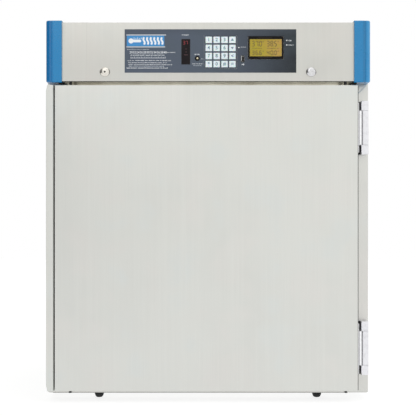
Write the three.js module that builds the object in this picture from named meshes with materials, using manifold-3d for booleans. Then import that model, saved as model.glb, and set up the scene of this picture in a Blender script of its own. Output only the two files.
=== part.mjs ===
// A heated laboratory incubator cabinet: an insulated stainless steel chamber behind one solid door,
// with a control header across the top. Millimetres, +Z up, the front faces -Y, and the origin is the
// middle of the footprint on the floor.
import * as THREE from "three";
import { mergeVertices } from "three/addons/utils/BufferGeometryUtils.js";
import Module from "manifold-3d";

const wasm = await Module();
wasm.setup();

// ---------------------------------------------------------------------------------------------
// Driving dimensions
// ---------------------------------------------------------------------------------------------
const WIDTH = 767; // across the outer side walls
const DEPTH = 673; // corner cap faces to the inlet flange at the back
const FOOT_HEIGHT = 16;
const CABINET_HEIGHT = 876.5; // underside of the base to the top cover
const HEADER_HEIGHT = 138; // the control header
const HEADER_PROJECTION = 53.5; // corner cap faces to the cabinet's front frame
const SHEET = 1.5; // stainless sheet
const GAP = 0.3; // between pieces that touch

// Outer cabinet
const WALL_X = WIDTH / 2;
const FRONT_Y = -DEPTH / 2;
const BACK_Y = DEPTH / 2;
const FACE_Y = FRONT_Y + HEADER_PROJECTION; // front of the face frame
const BASE_Z = FOOT_HEIGHT;
const TOP_Z = BASE_Z + CABINET_HEIGHT;
const HEADER_Z = TOP_Z - HEADER_HEIGHT; // underside of the header
const REAR_PROUD = 2; // how far the inlet's flange stands out of the rear panel
const REAR_Y = BACK_Y - REAR_PROUD; // outer face of the rear panel
const INNER_X = WALL_X - SHEET - GAP; // room between the side walls
const INNER_Y = FACE_Y + SHEET + GAP; // just behind the face frame
const FEET = { x: 263, y: 258, radius: 11.5 };
const LOUVRE = { x: 190, rows: 8, pitch: 14, width: 150, height: 5, z: 822 };
const INLET = { x: -300, z: 822, width: 31, height: 50, body: 27, bodyHeight: 46, depth: 34 };

// Heated chamber
const CHAMBER_X = 330; // half its width
const CHAMBER_Z = [76, 687];
const CHAMBER_BACK_Y = 248.5;
const BAFFLE_Y = 205; // rear face of the baffle
const BAFFLE = { halfWidth: 300, z: [106, 657] };
const FAN_Z = (CHAMBER_Z[0] + CHAMBER_Z[1]) / 2;
const HEATER = { radius: 100, tube: 4, y: 226, legX: 22, legZ: FAN_Z - 104, legEnd: 268 };
const MOTOR = { radius: 42, length: 60 };
const SHAFT_RADIUS = 4;

// Door
const PANEL_Y = FRONT_Y + 5; // front of the door and of the header's fascia
const DOOR_X = [-360, 352];
const DOOR_Z = [BASE_Z + 11, HEADER_Z - 9];
const DOOR_DEPTH = 40;
const DOOR_BACK_Y = PANEL_Y + DOOR_DEPTH;
const DOOR_PRESSING = 5; // how far its inner panel's middle stands out
const PULL_X = [-380, -364.2];
const PULL_DEPTH = 29.5;
const PULL_CORNER = { across: 3, up: 14 }; // cut off its outer corners

// Door hinges
const HINGE = { x: 369.8, y: -313, halfHeight: 63, knuckle: 22.4, radius: 8.6, pinRadius: 3 };
const HINGE_SPREAD = 260; // from the door's middle to each hinge's middle
const HINGE_Z = [1, -1].map((side) => (DOOR_Z[0] + DOOR_Z[1]) / 2 + side * HINGE_SPREAD);

// Shelves
const SHELF_Z = [285, 485];
const SHELF = { halfWidth: 316, y: [-255, 180], rim: 6, wire: 4, wires: 15 };
const PROBE = { x: 317, y: 176, radius: 3, z: [545, 640] };
const RACK = { y: [-200, 130], z: [100, 660], upright: 16, strip: 2, ledge: 22, levels: 5, pitch: 100 };

// Header and its controls: x from the middle, z from the header's underside
const FASCIA_RETURN = 11.5;
const CAP = { outerX: 381.3, front: 38.5, wall: 3.2, radius: 11, above: 4.2, below: 2.5 };
const FASCIA_HALF_WIDTH = CAP.outerX - 8;
const OVERLAY = { x: 5.8, z: 70.9, width: 402.6, height: 101.8, thickness: 0.8 };
const BUTTON = { x: -25, z: 53.5, radius: 3 };
const KEYPAD = { x: 29.5, z: 68.4, pitchX: 18.46, pitchZ: 18.9, key: 15, rim: 3.2 };
const ROCKER = { x: 81.4, z: 52.3, width: 7.8, height: 14.8, tilt: 9 };
const DISPLAY = { x: 135.5, z: 78.4, width: 83.2, height: 53.4, glassWidth: 75.6, glassHeight: 40.8 };
const FASTENER = { x: 242, z: 21.5, radius: 11, height: 4.7, stem: 3.8 };
const OVERLAY_Y = PANEL_Y - GAP - OVERLAY.thickness;
const KEY_TOP_Y = OVERLAY_Y - 1.9;
const BUTTON_TOP_Y = OVERLAY_Y - 2.4;
const ROCKER_Y = OVERLAY_Y + 1.2;
const HOLE_CLEARANCE = 0.4;

// ---------------------------------------------------------------------------------------------
// Materials
// ---------------------------------------------------------------------------------------------
const finish = (color, roughness, metalness = 0) =>
  new THREE.MeshStandardMaterial({ color, roughness, metalness });
const stainless = finish(0xd2d3cf, 0.38, 0.9);
const liningSteel = finish(0xc6c8c8, 0.3, 0.95);
const chrome = finish(0xe4e4e8, 0.14, 1);
const bluePlastic = finish(0x2f86c1, 0.42);
const slatePanel = finish(0x5a626c, 0.45);
const keyPlastic = finish(0xe6f1f2, 0.4);
const blackPlastic = finish(0x17181a, 0.5);
const displayGlass = finish(0xc8b43c, 0.2);
const rubber = finish(0x141515, 0.85);
const gasketRubber = finish(0x8e8f8c, 0.8);
const mineralWool = finish(0xd9c98b, 1);
const aluminium = finish(0xb8babd, 0.4, 0.9);
const heaterSheath = finish(0x6b5f58, 0.5, 0.7);
const motorPaint = finish(0x2c2f33, 0.6, 0.2);
const circuitBoard = finish(0x1f5a3a, 0.6);
const zincPlate = finish(0xc9ccd0, 0.35, 0.9);

// ---------------------------------------------------------------------------------------------
// Solids: three.js makes the shapes, manifold-3d joins and cuts them
// ---------------------------------------------------------------------------------------------
function solid(geometry) {
  const bare = geometry.index ? geometry.toNonIndexed() : geometry.clone();
  bare.deleteAttribute("normal");
  bare.deleteAttribute("uv");
  const merged = mergeVertices(bare, 1e-4);
  const mesh = new wasm.Mesh({
    numProp: 3,
    vertProperties: merged.attributes.position.array,
    triVerts: new Uint32Array(merged.index.array),
  });
  return new wasm.Manifold(mesh);
}

function geometryOf(shape) {
  const { vertProperties, triVerts } = shape.getMesh();
  const geometry = new THREE.BufferGeometry();
  geometry.setAttribute("position", new THREE.BufferAttribute(vertProperties, 3));
  geometry.setIndex(new THREE.BufferAttribute(triVerts, 1));
  const faceted = geometry.toNonIndexed();
  faceted.computeVertexNormals();
  return faceted;
}

const join = (...shapes) => shapes.reduce((whole, shape) => whole.add(shape));
const cut = (base, ...tools) => base.subtract(join(...tools));

/** A box from its x, y and z spans. */
function block([x0, x1], [y0, y1], [z0, z1]) {
  const box = new THREE.BoxGeometry(x1 - x0, y1 - y0, z1 - z0);
  return solid(box.translate((x0 + x1) / 2, (y0 + y1) / 2, (z0 + z1) / 2));
}

/** A box centred on (x, z) in the plane of the front, with its y span. */
const plateAt = (x, z, width, height, ySpan) =>
  block([x - width / 2, x + width / 2], ySpan, [z - height / 2, z + height / 2]);

/** A round bar along "x", "y" or "z", through the point (a, b) of the other two axes in XYZ order. */
function bar(axis, [a, b], radius, [from, to], sides = 20) {
  const cylinder = new THREE.CylinderGeometry(radius, radius, to - from, sides);
  const middle = (from + to) / 2;
  if (axis === "x") cylinder.rotateZ(Math.PI / 2).translate(middle, a, b);
  if (axis === "y") cylinder.translate(a, middle, b);
  if (axis === "z") cylinder.rotateX(Math.PI / 2).translate(a, b, middle);
  return solid(cylinder);
}

/** A flat outline in XY, raised from z0 to z1. */
function raised(outline, [z0, z1], curveSegments = 6) {
  const settings = { depth: z1 - z0, bevelEnabled: false, curveSegments };
  return solid(new THREE.ExtrudeGeometry(outline, settings).translate(0, 0, z0));
}

/** A turned shape whose axis is Z, from [radius, z] points that start and end on the axis. */
function turned(profile, sides = 24) {
  const points = profile.map(([radius, z]) => new THREE.Vector2(radius, z));
  return solid(new THREE.LatheGeometry(points, sides).rotateX(Math.PI / 2));
}

/** count centres, pitch apart, about a middle. */
const spaced = (count, pitch, middle = 0) =>
  Array.from({ length: count }, (_, i) => middle + (i - (count - 1) / 2) * pitch);

// ---------------------------------------------------------------------------------------------
// Cabinet shell
// ---------------------------------------------------------------------------------------------
/** Left wall, base and right wall, folded from one sheet. */
function outerWrapper() {
  const shell = block([-WALL_X, WALL_X], [FACE_Y, REAR_Y], [BASE_Z, TOP_Z - SHEET - GAP]);
  const inside = block(
    [SHEET - WALL_X, WALL_X - SHEET], [FACE_Y - 1, REAR_Y + 1], [BASE_Z + SHEET, TOP_Z + 1]);
  const frontFrameSeat = block([-WALL_X - 1, WALL_X + 1], [FACE_Y - 1, INNER_Y], [0, HEADER_Z]);
  return cut(shell, inside, frontFrameSeat);
}

/** Full width behind the face frame, narrower in front of it, between the corner caps. */
function steppedSheet(frontHalfWidth, backHalfWidth, zSpan, backEndY) {
  const returnEnd = PANEL_Y + FASCIA_RETURN + GAP;
  return join(
    block([-frontHalfWidth, frontHalfWidth], [returnEnd, FACE_Y + 1], zSpan),
    block([-backHalfWidth, backHalfWidth], [FACE_Y, backEndY], zSpan));
}

const topCover = () => steppedSheet(FASCIA_HALF_WIDTH, WALL_X, [TOP_Z - SHEET, TOP_Z], REAR_Y);

/** The floor of the control compartment, and the header's underside in front of the door. */
function controlTray() {
  const inside = CAP.outerX - CAP.front - GAP;
  return steppedSheet(inside, INNER_X, [HEADER_Z, HEADER_Z + SHEET], REAR_Y - SHEET - GAP);
}

function rearPanel() {
  const panel = block([-INNER_X, INNER_X], [REAR_Y - SHEET, REAR_Y],
    [BASE_Z + SHEET + GAP, TOP_Z - SHEET - GAP]);
  const through = [REAR_Y - 3, REAR_Y + 3];
  const louvres = [-1, 1].flatMap((side) =>
    spaced(LOUVRE.rows, LOUVRE.pitch, LOUVRE.z).map((z) =>
      plateAt(side * LOUVRE.x, z, LOUVRE.width, LOUVRE.height, through)));
  const inlet = plateAt(INLET.x, INLET.z, INLET.body + 1, INLET.bodyHeight + 1, through);
  return cut(panel, inlet, ...louvres);
}

/** The mains inlet: a body through the rear panel, with a socket above its fuse drawer. */
function powerInlet() {
  const flange = plateAt(INLET.x, INLET.z, INLET.width, INLET.height, [REAR_Y + GAP, BACK_Y]);
  const body = plateAt(
    INLET.x, INLET.z, INLET.body, INLET.bodyHeight, [REAR_Y - INLET.depth, REAR_Y + 1]);
  const socket = plateAt(INLET.x, INLET.z + 8, 23, 17, [REAR_Y - 16, BACK_Y + 1]);
  return cut(join(flange, body), socket);
}

/** A rubber bumper foot in its own frame, standing on the floor at the origin. */
function foot() {
  const top = BASE_Z - GAP;
  const { radius } = FEET;
  const side = [[5.4, 0], [8, 1.6], [10, 4.6], [11.2, 9], [radius, 12], [radius, top]];
  return turned([[0, 0], ...side, [0, top]], 20);
}

// ---------------------------------------------------------------------------------------------
// Chamber
// ---------------------------------------------------------------------------------------------
/** The heated box, welded to the flat front frame that the door's gasket closes against. */
function chamberLiner() {
  const frame = block([-WALL_X, WALL_X], [FACE_Y, FACE_Y + SHEET], [BASE_Z, HEADER_Z - GAP]);
  const box = block([-CHAMBER_X - SHEET, CHAMBER_X + SHEET], [FACE_Y, CHAMBER_BACK_Y + SHEET],
    [CHAMBER_Z[0] - SHEET, CHAMBER_Z[1] + SHEET]);
  const inside = block([-CHAMBER_X, CHAMBER_X], [FACE_Y - 1, CHAMBER_BACK_Y], CHAMBER_Z);
  const through = [CHAMBER_BACK_Y - 3, CHAMBER_BACK_Y + 5];
  const shaftHole = bar("y", [0, FAN_Z], SHAFT_RADIUS + 3, through, 16);
  const legHoles = [-1, 1].map((side) =>
    bar("y", [side * HEATER.legX, HEATER.legZ], HEATER.tube + 2.5, through, 12));
  return cut(join(frame, box), inside, shaftHole, ...legHoles);
}

/** Mineral wool between the liner and the outer shell, with pockets for the motor and heater ends. */
function insulationJacket() {
  const outer = block([-INNER_X, INNER_X], [INNER_Y, REAR_Y - SHEET - GAP],
    [BASE_Z + SHEET + GAP, HEADER_Z - GAP]);
  const room = block([-CHAMBER_X - SHEET - GAP, CHAMBER_X + SHEET + GAP],
    [INNER_Y - 1, CHAMBER_BACK_Y + SHEET + GAP],
    [CHAMBER_Z[0] - SHEET - GAP, CHAMBER_Z[1] + SHEET + GAP]);
  const motorEnd = CHAMBER_BACK_Y + MOTOR.length + 8;
  const motorPocket = bar("y", [0, FAN_Z], MOTOR.radius + 3, [CHAMBER_BACK_Y, motorEnd], 20);
  const legPockets = plateAt(0, HEATER.legZ, 70, 26, [CHAMBER_BACK_Y, HEATER.legEnd + 6]);
  return cut(outer, room, motorPocket, legPockets);
}

/** The perforated false back: air is drawn in at its middle and comes out at its sides. */
function rearBaffle() {
  const sheetY = [BAFFLE_Y - SHEET, BAFFLE_Y];
  const through = [BAFFLE_Y - 4, BAFFLE_Y + 4];
  const face = block([-BAFFLE.halfWidth, BAFFLE.halfWidth], sheetY, BAFFLE.z);
  const flanges = [-1, 1].map((side) => {
    const outerX = side * BAFFLE.halfWidth;
    const innerX = side * (BAFFLE.halfWidth - SHEET);
    return block([Math.min(outerX, innerX), Math.max(outerX, innerX)],
      [BAFFLE_Y - SHEET, CHAMBER_BACK_Y - GAP], BAFFLE.z);
  });
  const intake = spaced(9, 14, FAN_Z).map((z) => plateAt(0, z, 116, 6, through));
  const outlets = [-1, 1].flatMap((side) =>
    spaced(10, 48, FAN_Z).map((z) => plateAt(side * 240, z, 70, 7, through)));
  return cut(join(face, ...flanges), ...intake, ...outlets);
}

/** A sheathed heating element bent once round the fan wheel, with both ends through the back wall. */
function heaterElement() {
  const { radius, tube, y, legX, legZ, legEnd } = HEATER;
  const start = Math.asin(legX / radius);
  const ringPoints = Array.from({ length: 25 }, (_, i) => {
    const angle = start + (i / 24) * (2 * Math.PI - 2 * start);
    return new THREE.Vector3(-radius * Math.sin(angle), y, FAN_Z - radius * Math.cos(angle));
  });
  const leg = (side, from, to) => [from, (from + to) / 2, to].map((legY) =>
    new THREE.Vector3(side * legX, legY, legZ));
  const path = new THREE.CatmullRomCurve3([
    ...leg(-1, legEnd, y + 14), ...ringPoints, ...leg(1, y + 14, legEnd)]);
  const section = new THREE.Shape().absarc(0, 0, tube, 0, 2 * Math.PI);
  const settings = { extrudePath: path, steps: 48, curveSegments: 3, bevelEnabled: false };
  return solid(new THREE.ExtrudeGeometry(section, settings));
}

function fanMotor() {
  const front = CHAMBER_BACK_Y + SHEET + 0.6;
  const can = bar("y", [0, FAN_Z], MOTOR.radius, [front, front + MOTOR.length], 24);
  return cut(can, bar("y", [0, FAN_Z], SHAFT_RADIUS + 0.5, [front - 1, front + 18], 16));
}

/** Blower wheel in its own frame: the shaft runs along Y and the wheel's middle is the origin. */
function fanWheel() {
  const back = [10, 12];
  const disc = bar("y", [0, 0], 75, back, 32);
  const hub = bar("y", [0, 0], 12, [-9, 12], 16);
  const shaft = bar("y", [0, 0], SHAFT_RADIUS, [-9, 36], 16);
  const blades = Array.from({ length: 12 }, (_, i) =>
    block([38, 74], [-12, 11], [-1, 1]).rotate([0, i * 30, 0]));
  const rim = cut(bar("y", [0, 0], 75, [-12, -10.5], 32), bar("y", [0, 0], 52, [-13, -9], 32));
  return join(disc, hub, shaft, rim, ...blades);
}

/** The right side's shelf rack: two uprights against the wall, with a folded ledge at each level. */
function shelfRack() {
  const wall = CHAMBER_X - GAP;
  const { strip, upright, ledge } = RACK;
  const uprights = RACK.y.map((y) =>
    block([wall - strip, wall], [y - upright / 2, y + upright / 2], RACK.z));
  const ledgeY = [RACK.y[0] - 20, RACK.y[1] + 20];
  const middle = (SHELF_Z[0] + SHELF_Z[1]) / 2;
  const ledges = spaced(RACK.levels, RACK.pitch, middle).flatMap((shelfZ) => {
    const top = shelfZ - SHELF.rim / 2 - GAP;
    return [
      block([wall - ledge, wall - strip / 2], ledgeY, [top - strip, top]),
      block([wall - 1.5 * strip, wall - strip / 2], ledgeY, [top - 14, top]),
    ];
  });
  return join(...uprights, ...ledges);
}

/** A wire shelf in its own frame, its middle plane at z 0. */
function wireShelf() {
  const { halfWidth, y, rim, wire, wires } = SHELF;
  const rimSpan = [-rim / 2, rim / 2];
  const wireSpan = [rim / 2 - wire, rim / 2];
  const sides = [-1, 1].map((side) => {
    const edge = [side * halfWidth, side * (halfWidth - rim)].sort((a, b) => a - b);
    return block(edge, y, rimSpan);
  });
  const ends = [[y[0], y[0] + rim], [y[1] - rim, y[1]]].map((span) =>
    block([-halfWidth, halfWidth], span, rimSpan));
  const pitch = (2 * halfWidth - rim) / (wires + 1);
  const runners = spaced(wires, pitch).map((x) => block([x - wire / 2, x + wire / 2], y, wireSpan));
  return join(...sides, ...ends, ...runners);
}

/** A thin probe that hangs beside the chamber's right wall, from a block with a hexagonal gland. */
function temperatureProbe() {
  const wall = CHAMBER_X - GAP;
  const { x, y, radius, z } = PROBE;
  return join(
    bar("z", [x, y], radius, z, 12),
    block([x - 6, wall - 2], [y - 6, y + 6], [z[1] - 14, z[1]]),
    bar("x", [y, z[1] - 7], 9, [wall - 4, wall], 6));
}

// ---------------------------------------------------------------------------------------------
// Header
// ---------------------------------------------------------------------------------------------
const controlZ = (control) => HEADER_Z + control.z;
const keypadSize = {
  width: 3 * KEYPAD.pitchX + KEYPAD.key + 2 * KEYPAD.rim,
  height: 3 * KEYPAD.pitchZ + KEYPAD.key + 2 * KEYPAD.rim,
};

/** The openings that the header's fascia and its overlay share. */
function controlOpenings(ySpan) {
  const size = 2 * HOLE_CLEARANCE;
  return [
    plateAt(KEYPAD.x, controlZ(KEYPAD), keypadSize.width + size, keypadSize.height + size, ySpan),
    plateAt(DISPLAY.x, controlZ(DISPLAY), DISPLAY.width + size, DISPLAY.height + size, ySpan),
    plateAt(ROCKER.x, controlZ(ROCKER), ROCKER.width + size, ROCKER.height + size, ySpan),
    bar("y", [BUTTON.x, controlZ(BUTTON)], BUTTON.radius + HOLE_CLEARANCE, ySpan, 20),
  ];
}

/** The header's steel front, folded back at its top and bottom edges. */
function headerFascia() {
  const xSpan = [-FASCIA_HALF_WIDTH, FASCIA_HALF_WIDTH];
  const folded = [PANEL_Y, PANEL_Y + FASCIA_RETURN];
  const through = [PANEL_Y - 1, PANEL_Y + SHEET + 1];
  const pan = join(
    block(xSpan, [PANEL_Y, PANEL_Y + SHEET], [HEADER_Z, TOP_Z]),
    block(xSpan, folded, [HEADER_Z, HEADER_Z + SHEET]),
    block(xSpan, folded, [TOP_Z - SHEET, TOP_Z]));
  const fastenerHoles = [-1, 1].map((side) =>
    bar("y", [side * FASTENER.x, controlZ(FASTENER)], FASTENER.stem + HOLE_CLEARANCE, through, 20));
  return cut(pan, ...controlOpenings(through), ...fastenerHoles);
}

/** The printed control overlay on the fascia. */
function controlOverlay() {
  const ySpan = [OVERLAY_Y, OVERLAY_Y + OVERLAY.thickness];
  const sheet = plateAt(OVERLAY.x, controlZ(OVERLAY), OVERLAY.width, OVERLAY.height, ySpan);
  return cut(sheet, ...controlOpenings([ySpan[0] - 1, ySpan[1] + 1]));
}

/** Corner outline in XY for the right cap, its faces set in by inset. */
function capOutline(inset, innerX) {
  const outerX = CAP.outerX - inset;
  const frontY = FRONT_Y + inset;
  const radius = CAP.radius - inset;
  const outline = new THREE.Shape();
  outline.moveTo(innerX, frontY);
  outline.lineTo(outerX - radius, frontY);
  outline.absarc(outerX - radius, frontY + radius, radius, -Math.PI / 2, 0, false);
  outline.lineTo(outerX, FACE_Y - GAP + inset);
  outline.lineTo(innerX, FACE_Y - GAP + inset);
  return outline;
}

/** A moulded corner cap: hollow, closed at its top, bottom, front and outer side. */
function cornerCap(side) {
  const innerX = CAP.outerX - CAP.front;
  const zSpan = [HEADER_Z - CAP.below, TOP_Z + CAP.above];
  const outer = raised(capOutline(0, innerX), zSpan);
  const hollow = raised(capOutline(CAP.wall, innerX - 5), [HEADER_Z - GAP, TOP_Z + GAP + 0.4]);
  const cap = cut(outer, hollow);
  return side > 0 ? cap : cap.mirror([1, 0, 0]);
}

/** Frame and can of the display module, open at the front for its glass. */
function displayBezel() {
  const z = controlZ(DISPLAY);
  const can = plateAt(DISPLAY.x, z, DISPLAY.width, DISPLAY.height, [OVERLAY_Y - 1.2, PANEL_Y + 8]);
  const recess = plateAt(
    DISPLAY.x, z, DISPLAY.glassWidth, DISPLAY.glassHeight, [OVERLAY_Y - 2, PANEL_Y + 3]);
  return cut(can, recess);
}

const displayPane = () => plateAt(DISPLAY.x, controlZ(DISPLAY), DISPLAY.glassWidth - 2 * GAP,
  DISPLAY.glassHeight - 2 * GAP, [OVERLAY_Y - 0.2, PANEL_Y + 3 - GAP]);

/** The grid that guides the keys, with the circuit board behind them. */
function keypadHousing() {
  const z = controlZ(KEYPAD);
  const frontY = OVERLAY_Y - 0.3;
  const tray = plateAt(KEYPAD.x, z, keypadSize.width, keypadSize.height, [frontY, PANEL_Y + 9]);
  const room = plateAt(KEYPAD.x, z, keypadSize.width - 3, keypadSize.height - 3,
    [PANEL_Y + 1.5, PANEL_Y + 7]);
  const cells = spaced(4, KEYPAD.pitchX, KEYPAD.x).flatMap((x) =>
    spaced(4, KEYPAD.pitchZ, z).map((keyZ) =>
      plateAt(x, keyZ, KEYPAD.key + 0.8, KEYPAD.key + 0.8, [frontY - 1, PANEL_Y + 2])));
  return cut(tray, room, ...cells);
}

/** A key in its own frame: its top is at y 0, and a flange behind keeps it in the housing. */
function keyCap() {
  const half = KEYPAD.key / 2;
  const collar = half + 1.2;
  const back = PANEL_Y + 1.5 + GAP - KEY_TOP_Y;
  return join(
    block([-half, half], [0, back + 1], [-half, half]),
    block([-collar, collar], [back, back + 1.2], [-collar, collar]));
}

/** A round push button in its own frame: its face is at y 0, with a collar behind the fascia. */
function alarmButton() {
  const back = PANEL_Y + SHEET + GAP - BUTTON_TOP_Y;
  return join(
    bar("y", [0, 0], BUTTON.radius, [0, back + 12], 20),
    bar("y", [0, 0], BUTTON.radius + 1.4, [back, back + 1.4], 20));
}

/** The rocker switch's body, open at the front for the rocker. */
function switchHousing() {
  const z = controlZ(ROCKER);
  const body = plateAt(ROCKER.x, z, ROCKER.width, ROCKER.height, [OVERLAY_Y - 0.9, PANEL_Y + 20]);
  const well = plateAt(
    ROCKER.x, z, ROCKER.width - 2.4, ROCKER.height - 2.4, [OVERLAY_Y - 2, PANEL_Y + 9]);
  return cut(body, well);
}

/** A rocker in its own frame: it turns about X through the origin. */
function rocker() {
  const halfWidth = ROCKER.width / 2 - 1.6;
  const halfHeight = ROCKER.height / 2 - 2.1;
  const outline = new THREE.Shape();
  outline.moveTo(halfHeight, -3.2);
  outline.lineTo(halfHeight, 0.6);
  outline.lineTo(2, 3.2);
  outline.lineTo(-2, 3.2);
  outline.lineTo(-halfHeight, 0.6);
  outline.lineTo(-halfHeight, -3.2);
  outline.quadraticCurveTo(0, -1.9, halfHeight, -3.2);
  const settings = { depth: 2 * halfWidth, bevelEnabled: false, curveSegments: 6 };
  const geometry = new THREE.ExtrudeGeometry(outline, settings).translate(0, 0, -halfWidth);
  const standing = new THREE.Matrix4().set(0, 0, 1, 0, 0, 1, 0, 0, -1, 0, 0, 0, 0, 0, 0, 1);
  return solid(geometry.applyMatrix4(standing));
}

/** A domed quarter-turn fastener in its own frame: its seat is at y 0 and it faces -Y. */
function fasciaFastener() {
  const { radius, height, stem } = FASTENER;
  const profile = [
    [0, -14], [stem, -14], [stem, 0], [radius, 0], [radius, 1], [radius * 0.86, height * 0.62],
    [radius * 0.55, height * 0.92], [radius * 0.28, height], [0, height]];
  const turnedHead = new THREE.LatheGeometry(profile.map(([r, z]) => new THREE.Vector2(r, z)), 24);
  const head = solid(turnedHead.rotateX(Math.PI));
  const socket = bar("y", [0, 0], 1.9, [-height - 1, -height + 2.4], 6);
  return cut(head, socket);
}

/** Control board on four standoffs, with its transformer, relay, heat sink and terminal block. */
function controlBoard() {
  const floor = HEADER_Z + SHEET + GAP;
  const board = [floor + 10, floor + 12];
  const deck = board[1] - 0.5;
  const standoffs = [-125, 105].flatMap((x) => [-235, -95].map((y) =>
    bar("z", [x, y], 4, [floor, board[0] + 1], 8)));
  return join(
    block([-135, 115], [-245, -85], board),
    block([-120, -58], [-230, -176], [deck, deck + 48]),
    block([-30, 0], [-225, -205], [deck, deck + 18]),
    block([20, 62], [-230, -200], [deck, deck + 34]),
    block([-110, 90], [-108, -96], [deck, deck + 14]),
    ...standoffs);
}

// ---------------------------------------------------------------------------------------------
// Door
// ---------------------------------------------------------------------------------------------
function doorOuterPanel() {
  const shell = block(DOOR_X, [PANEL_Y, DOOR_BACK_Y], DOOR_Z);
  const inside = block(
    [DOOR_X[0] + SHEET, DOOR_X[1] - SHEET], [PANEL_Y + SHEET, DOOR_BACK_Y + 1],
    [DOOR_Z[0] + SHEET, DOOR_Z[1] - SHEET]);
  return cut(shell, inside);
}

/** Spans inside the door's outer panel, set in by margin. */
const insideDoor = (margin) => [
  [DOOR_X[0] + margin, DOOR_X[1] - margin],
  [DOOR_Z[0] + margin, DOOR_Z[1] - margin],
];

/** The door's chamber side: a sheet whose middle is pressed out towards the chamber. */
function doorInnerPanel() {
  const [x, z] = insideDoor(SHEET + GAP);
  const margin = 25;
  const pressing = (inset, ySpan) => block(
    [margin + inset - CHAMBER_X, CHAMBER_X - margin - inset], ySpan,
    [CHAMBER_Z[0] + margin + inset, CHAMBER_Z[1] - margin - inset]);
  const sheet = block(x, [DOOR_BACK_Y - SHEET, DOOR_BACK_Y], z);
  const raisedY = DOOR_BACK_Y + DOOR_PRESSING;
  return cut(
    join(sheet, pressing(0, [DOOR_BACK_Y - SHEET, raisedY])),
    pressing(SHEET, [DOOR_BACK_Y - SHEET - 1, raisedY - SHEET]));
}

function doorInsulation() {
  const [x, z] = insideDoor(SHEET + GAP);
  return block(x, [PANEL_Y + SHEET + GAP, DOOR_BACK_Y - SHEET - GAP], z);
}

/** The soft ring that closes against the face frame. */
function doorGasket() {
  const ySpan = [DOOR_BACK_Y + GAP, FACE_Y - GAP];
  const inner = 2;
  const outer = 16;
  const ring = (margin, span) => block([-CHAMBER_X - margin, CHAMBER_X + margin], span,
    [CHAMBER_Z[0] - margin, CHAMBER_Z[1] + margin]);
  return cut(ring(outer, ySpan), ring(inner, [ySpan[0] - 1, ySpan[1] + 1]));
}

/** The full-height pull: a channel open to the side for the fingers, tied to the door at its back. */
function doorPull() {
  const fold = 2;
  const backY = PANEL_Y + PULL_DEPTH;
  const channel = cut(
    block(PULL_X, [PANEL_Y, backY], DOOR_Z),
    block([PULL_X[0] - 1, PULL_X[1] - fold], [PANEL_Y + fold, backY - fold],
      [DOOR_Z[0] - 1, DOOR_Z[1] + 1]));
  const tie = block([PULL_X[1] - 1, DOOR_X[0] - GAP], [backY - fold, backY], DOOR_Z);
  const cornerCuts = DOOR_Z.map((z, end) => {
    const inward = end === 0 ? 1 : -1;
    const corner = new THREE.Shape();
    corner.moveTo(PULL_X[0] - 1, z - inward);
    corner.lineTo(PULL_X[0] + PULL_CORNER.across, z - inward);
    corner.lineTo(PULL_X[0] - 1, z + inward * PULL_CORNER.up);
    const settings = { depth: PULL_DEPTH + 4, bevelEnabled: false };
    const wedge = new THREE.ExtrudeGeometry(corner, settings);
    return solid(wedge.rotateX(Math.PI / 2).translate(0, backY + 2, 0));
  });
  return cut(join(channel, tie), ...cornerCuts);
}

// ---------------------------------------------------------------------------------------------
// Hinges, in a frame whose origin is the middle of the hinge's pin
// ---------------------------------------------------------------------------------------------
const pinHole = () =>
  bar("z", [0, 0], HINGE.pinRadius + 0.35, [-HINGE.halfHeight - 1, HINGE.halfHeight + 1], 16);

/** The cabinet's leaf: two knuckles on arms from a plate on the face frame. */
function hingeFrameLeaf() {
  const { halfHeight, knuckle, radius } = HINGE;
  const plateY = FACE_Y - GAP - HINGE.y;
  const knuckles = [-1, 1].flatMap((end) => {
    const span = [end * halfHeight, end * (halfHeight - knuckle)].sort((a, b) => a - b);
    return [bar("z", [0, 0], radius, span, 24), block([-radius, radius], [0, plateY - 1], span)];
  });
  const plate = block([-14, radius], [plateY - 3, plateY], [-halfHeight, halfHeight]);
  return cut(join(plate, ...knuckles), pinHole());
}

/** The door's leaf: the middle knuckle, and a plate on the door's edge. */
function hingeDoorLeaf() {
  const { halfHeight, knuckle, radius } = HINGE;
  const middle = halfHeight - knuckle - GAP;
  const edge = DOOR_X[1] + GAP - HINGE.x;
  const barrel = bar("z", [0, 0], radius, [-middle, middle], 24);
  const web = block([edge, 0], [-9, -4], [-middle, middle]);
  const plate = block([edge, edge + 3], [-14, 14], [4 - halfHeight, halfHeight - 4]);
  return cut(join(barrel, web, plate), pinHole());
}

const hingePin = () =>
  bar("z", [0, 0], HINGE.pinRadius, [1 - HINGE.halfHeight, HINGE.halfHeight - 1], 16);

// ---------------------------------------------------------------------------------------------
// Assembly
// ---------------------------------------------------------------------------------------------
const incubator = new THREE.Group();
const door = new THREE.Group();
door.position.set(HINGE.x, HINGE.y, 0);
incubator.add(door);

/** Adds a named mesh that is already in the part's frame. */
function add(name, shape, material, parent = incubator) {
  const geometry = geometryOf(shape);
  geometry.translate(-parent.position.x, -parent.position.y, -parent.position.z);
  const mesh = new THREE.Mesh(geometry, material);
  mesh.name = name;
  parent.add(mesh);
  return mesh;
}

/** Adds a named mesh that is modelled in its own frame, at a place in the parent's. */
function place(name, shape, material, [x, y, z], parent = incubator) {
  const mesh = new THREE.Mesh(geometryOf(shape), material);
  mesh.name = name;
  mesh.position.set(x, y, z);
  parent.add(mesh);
  return mesh;
}

add("outer_wrapper", outerWrapper(), stainless);
add("top_cover", topCover(), stainless);
add("rear_panel", rearPanel(), stainless);
add("control_tray", controlTray(), stainless);
add("power_inlet", powerInlet(), blackPlastic);
[["front", -1], ["rear", 1]].forEach(([end, sideY]) => {
  place(`foot_${end}_left`, foot(), rubber, [-FEET.x, sideY * FEET.y, 0]);
  place(`foot_${end}_right`, foot(), rubber, [FEET.x, sideY * FEET.y, 0]);
});

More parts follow.
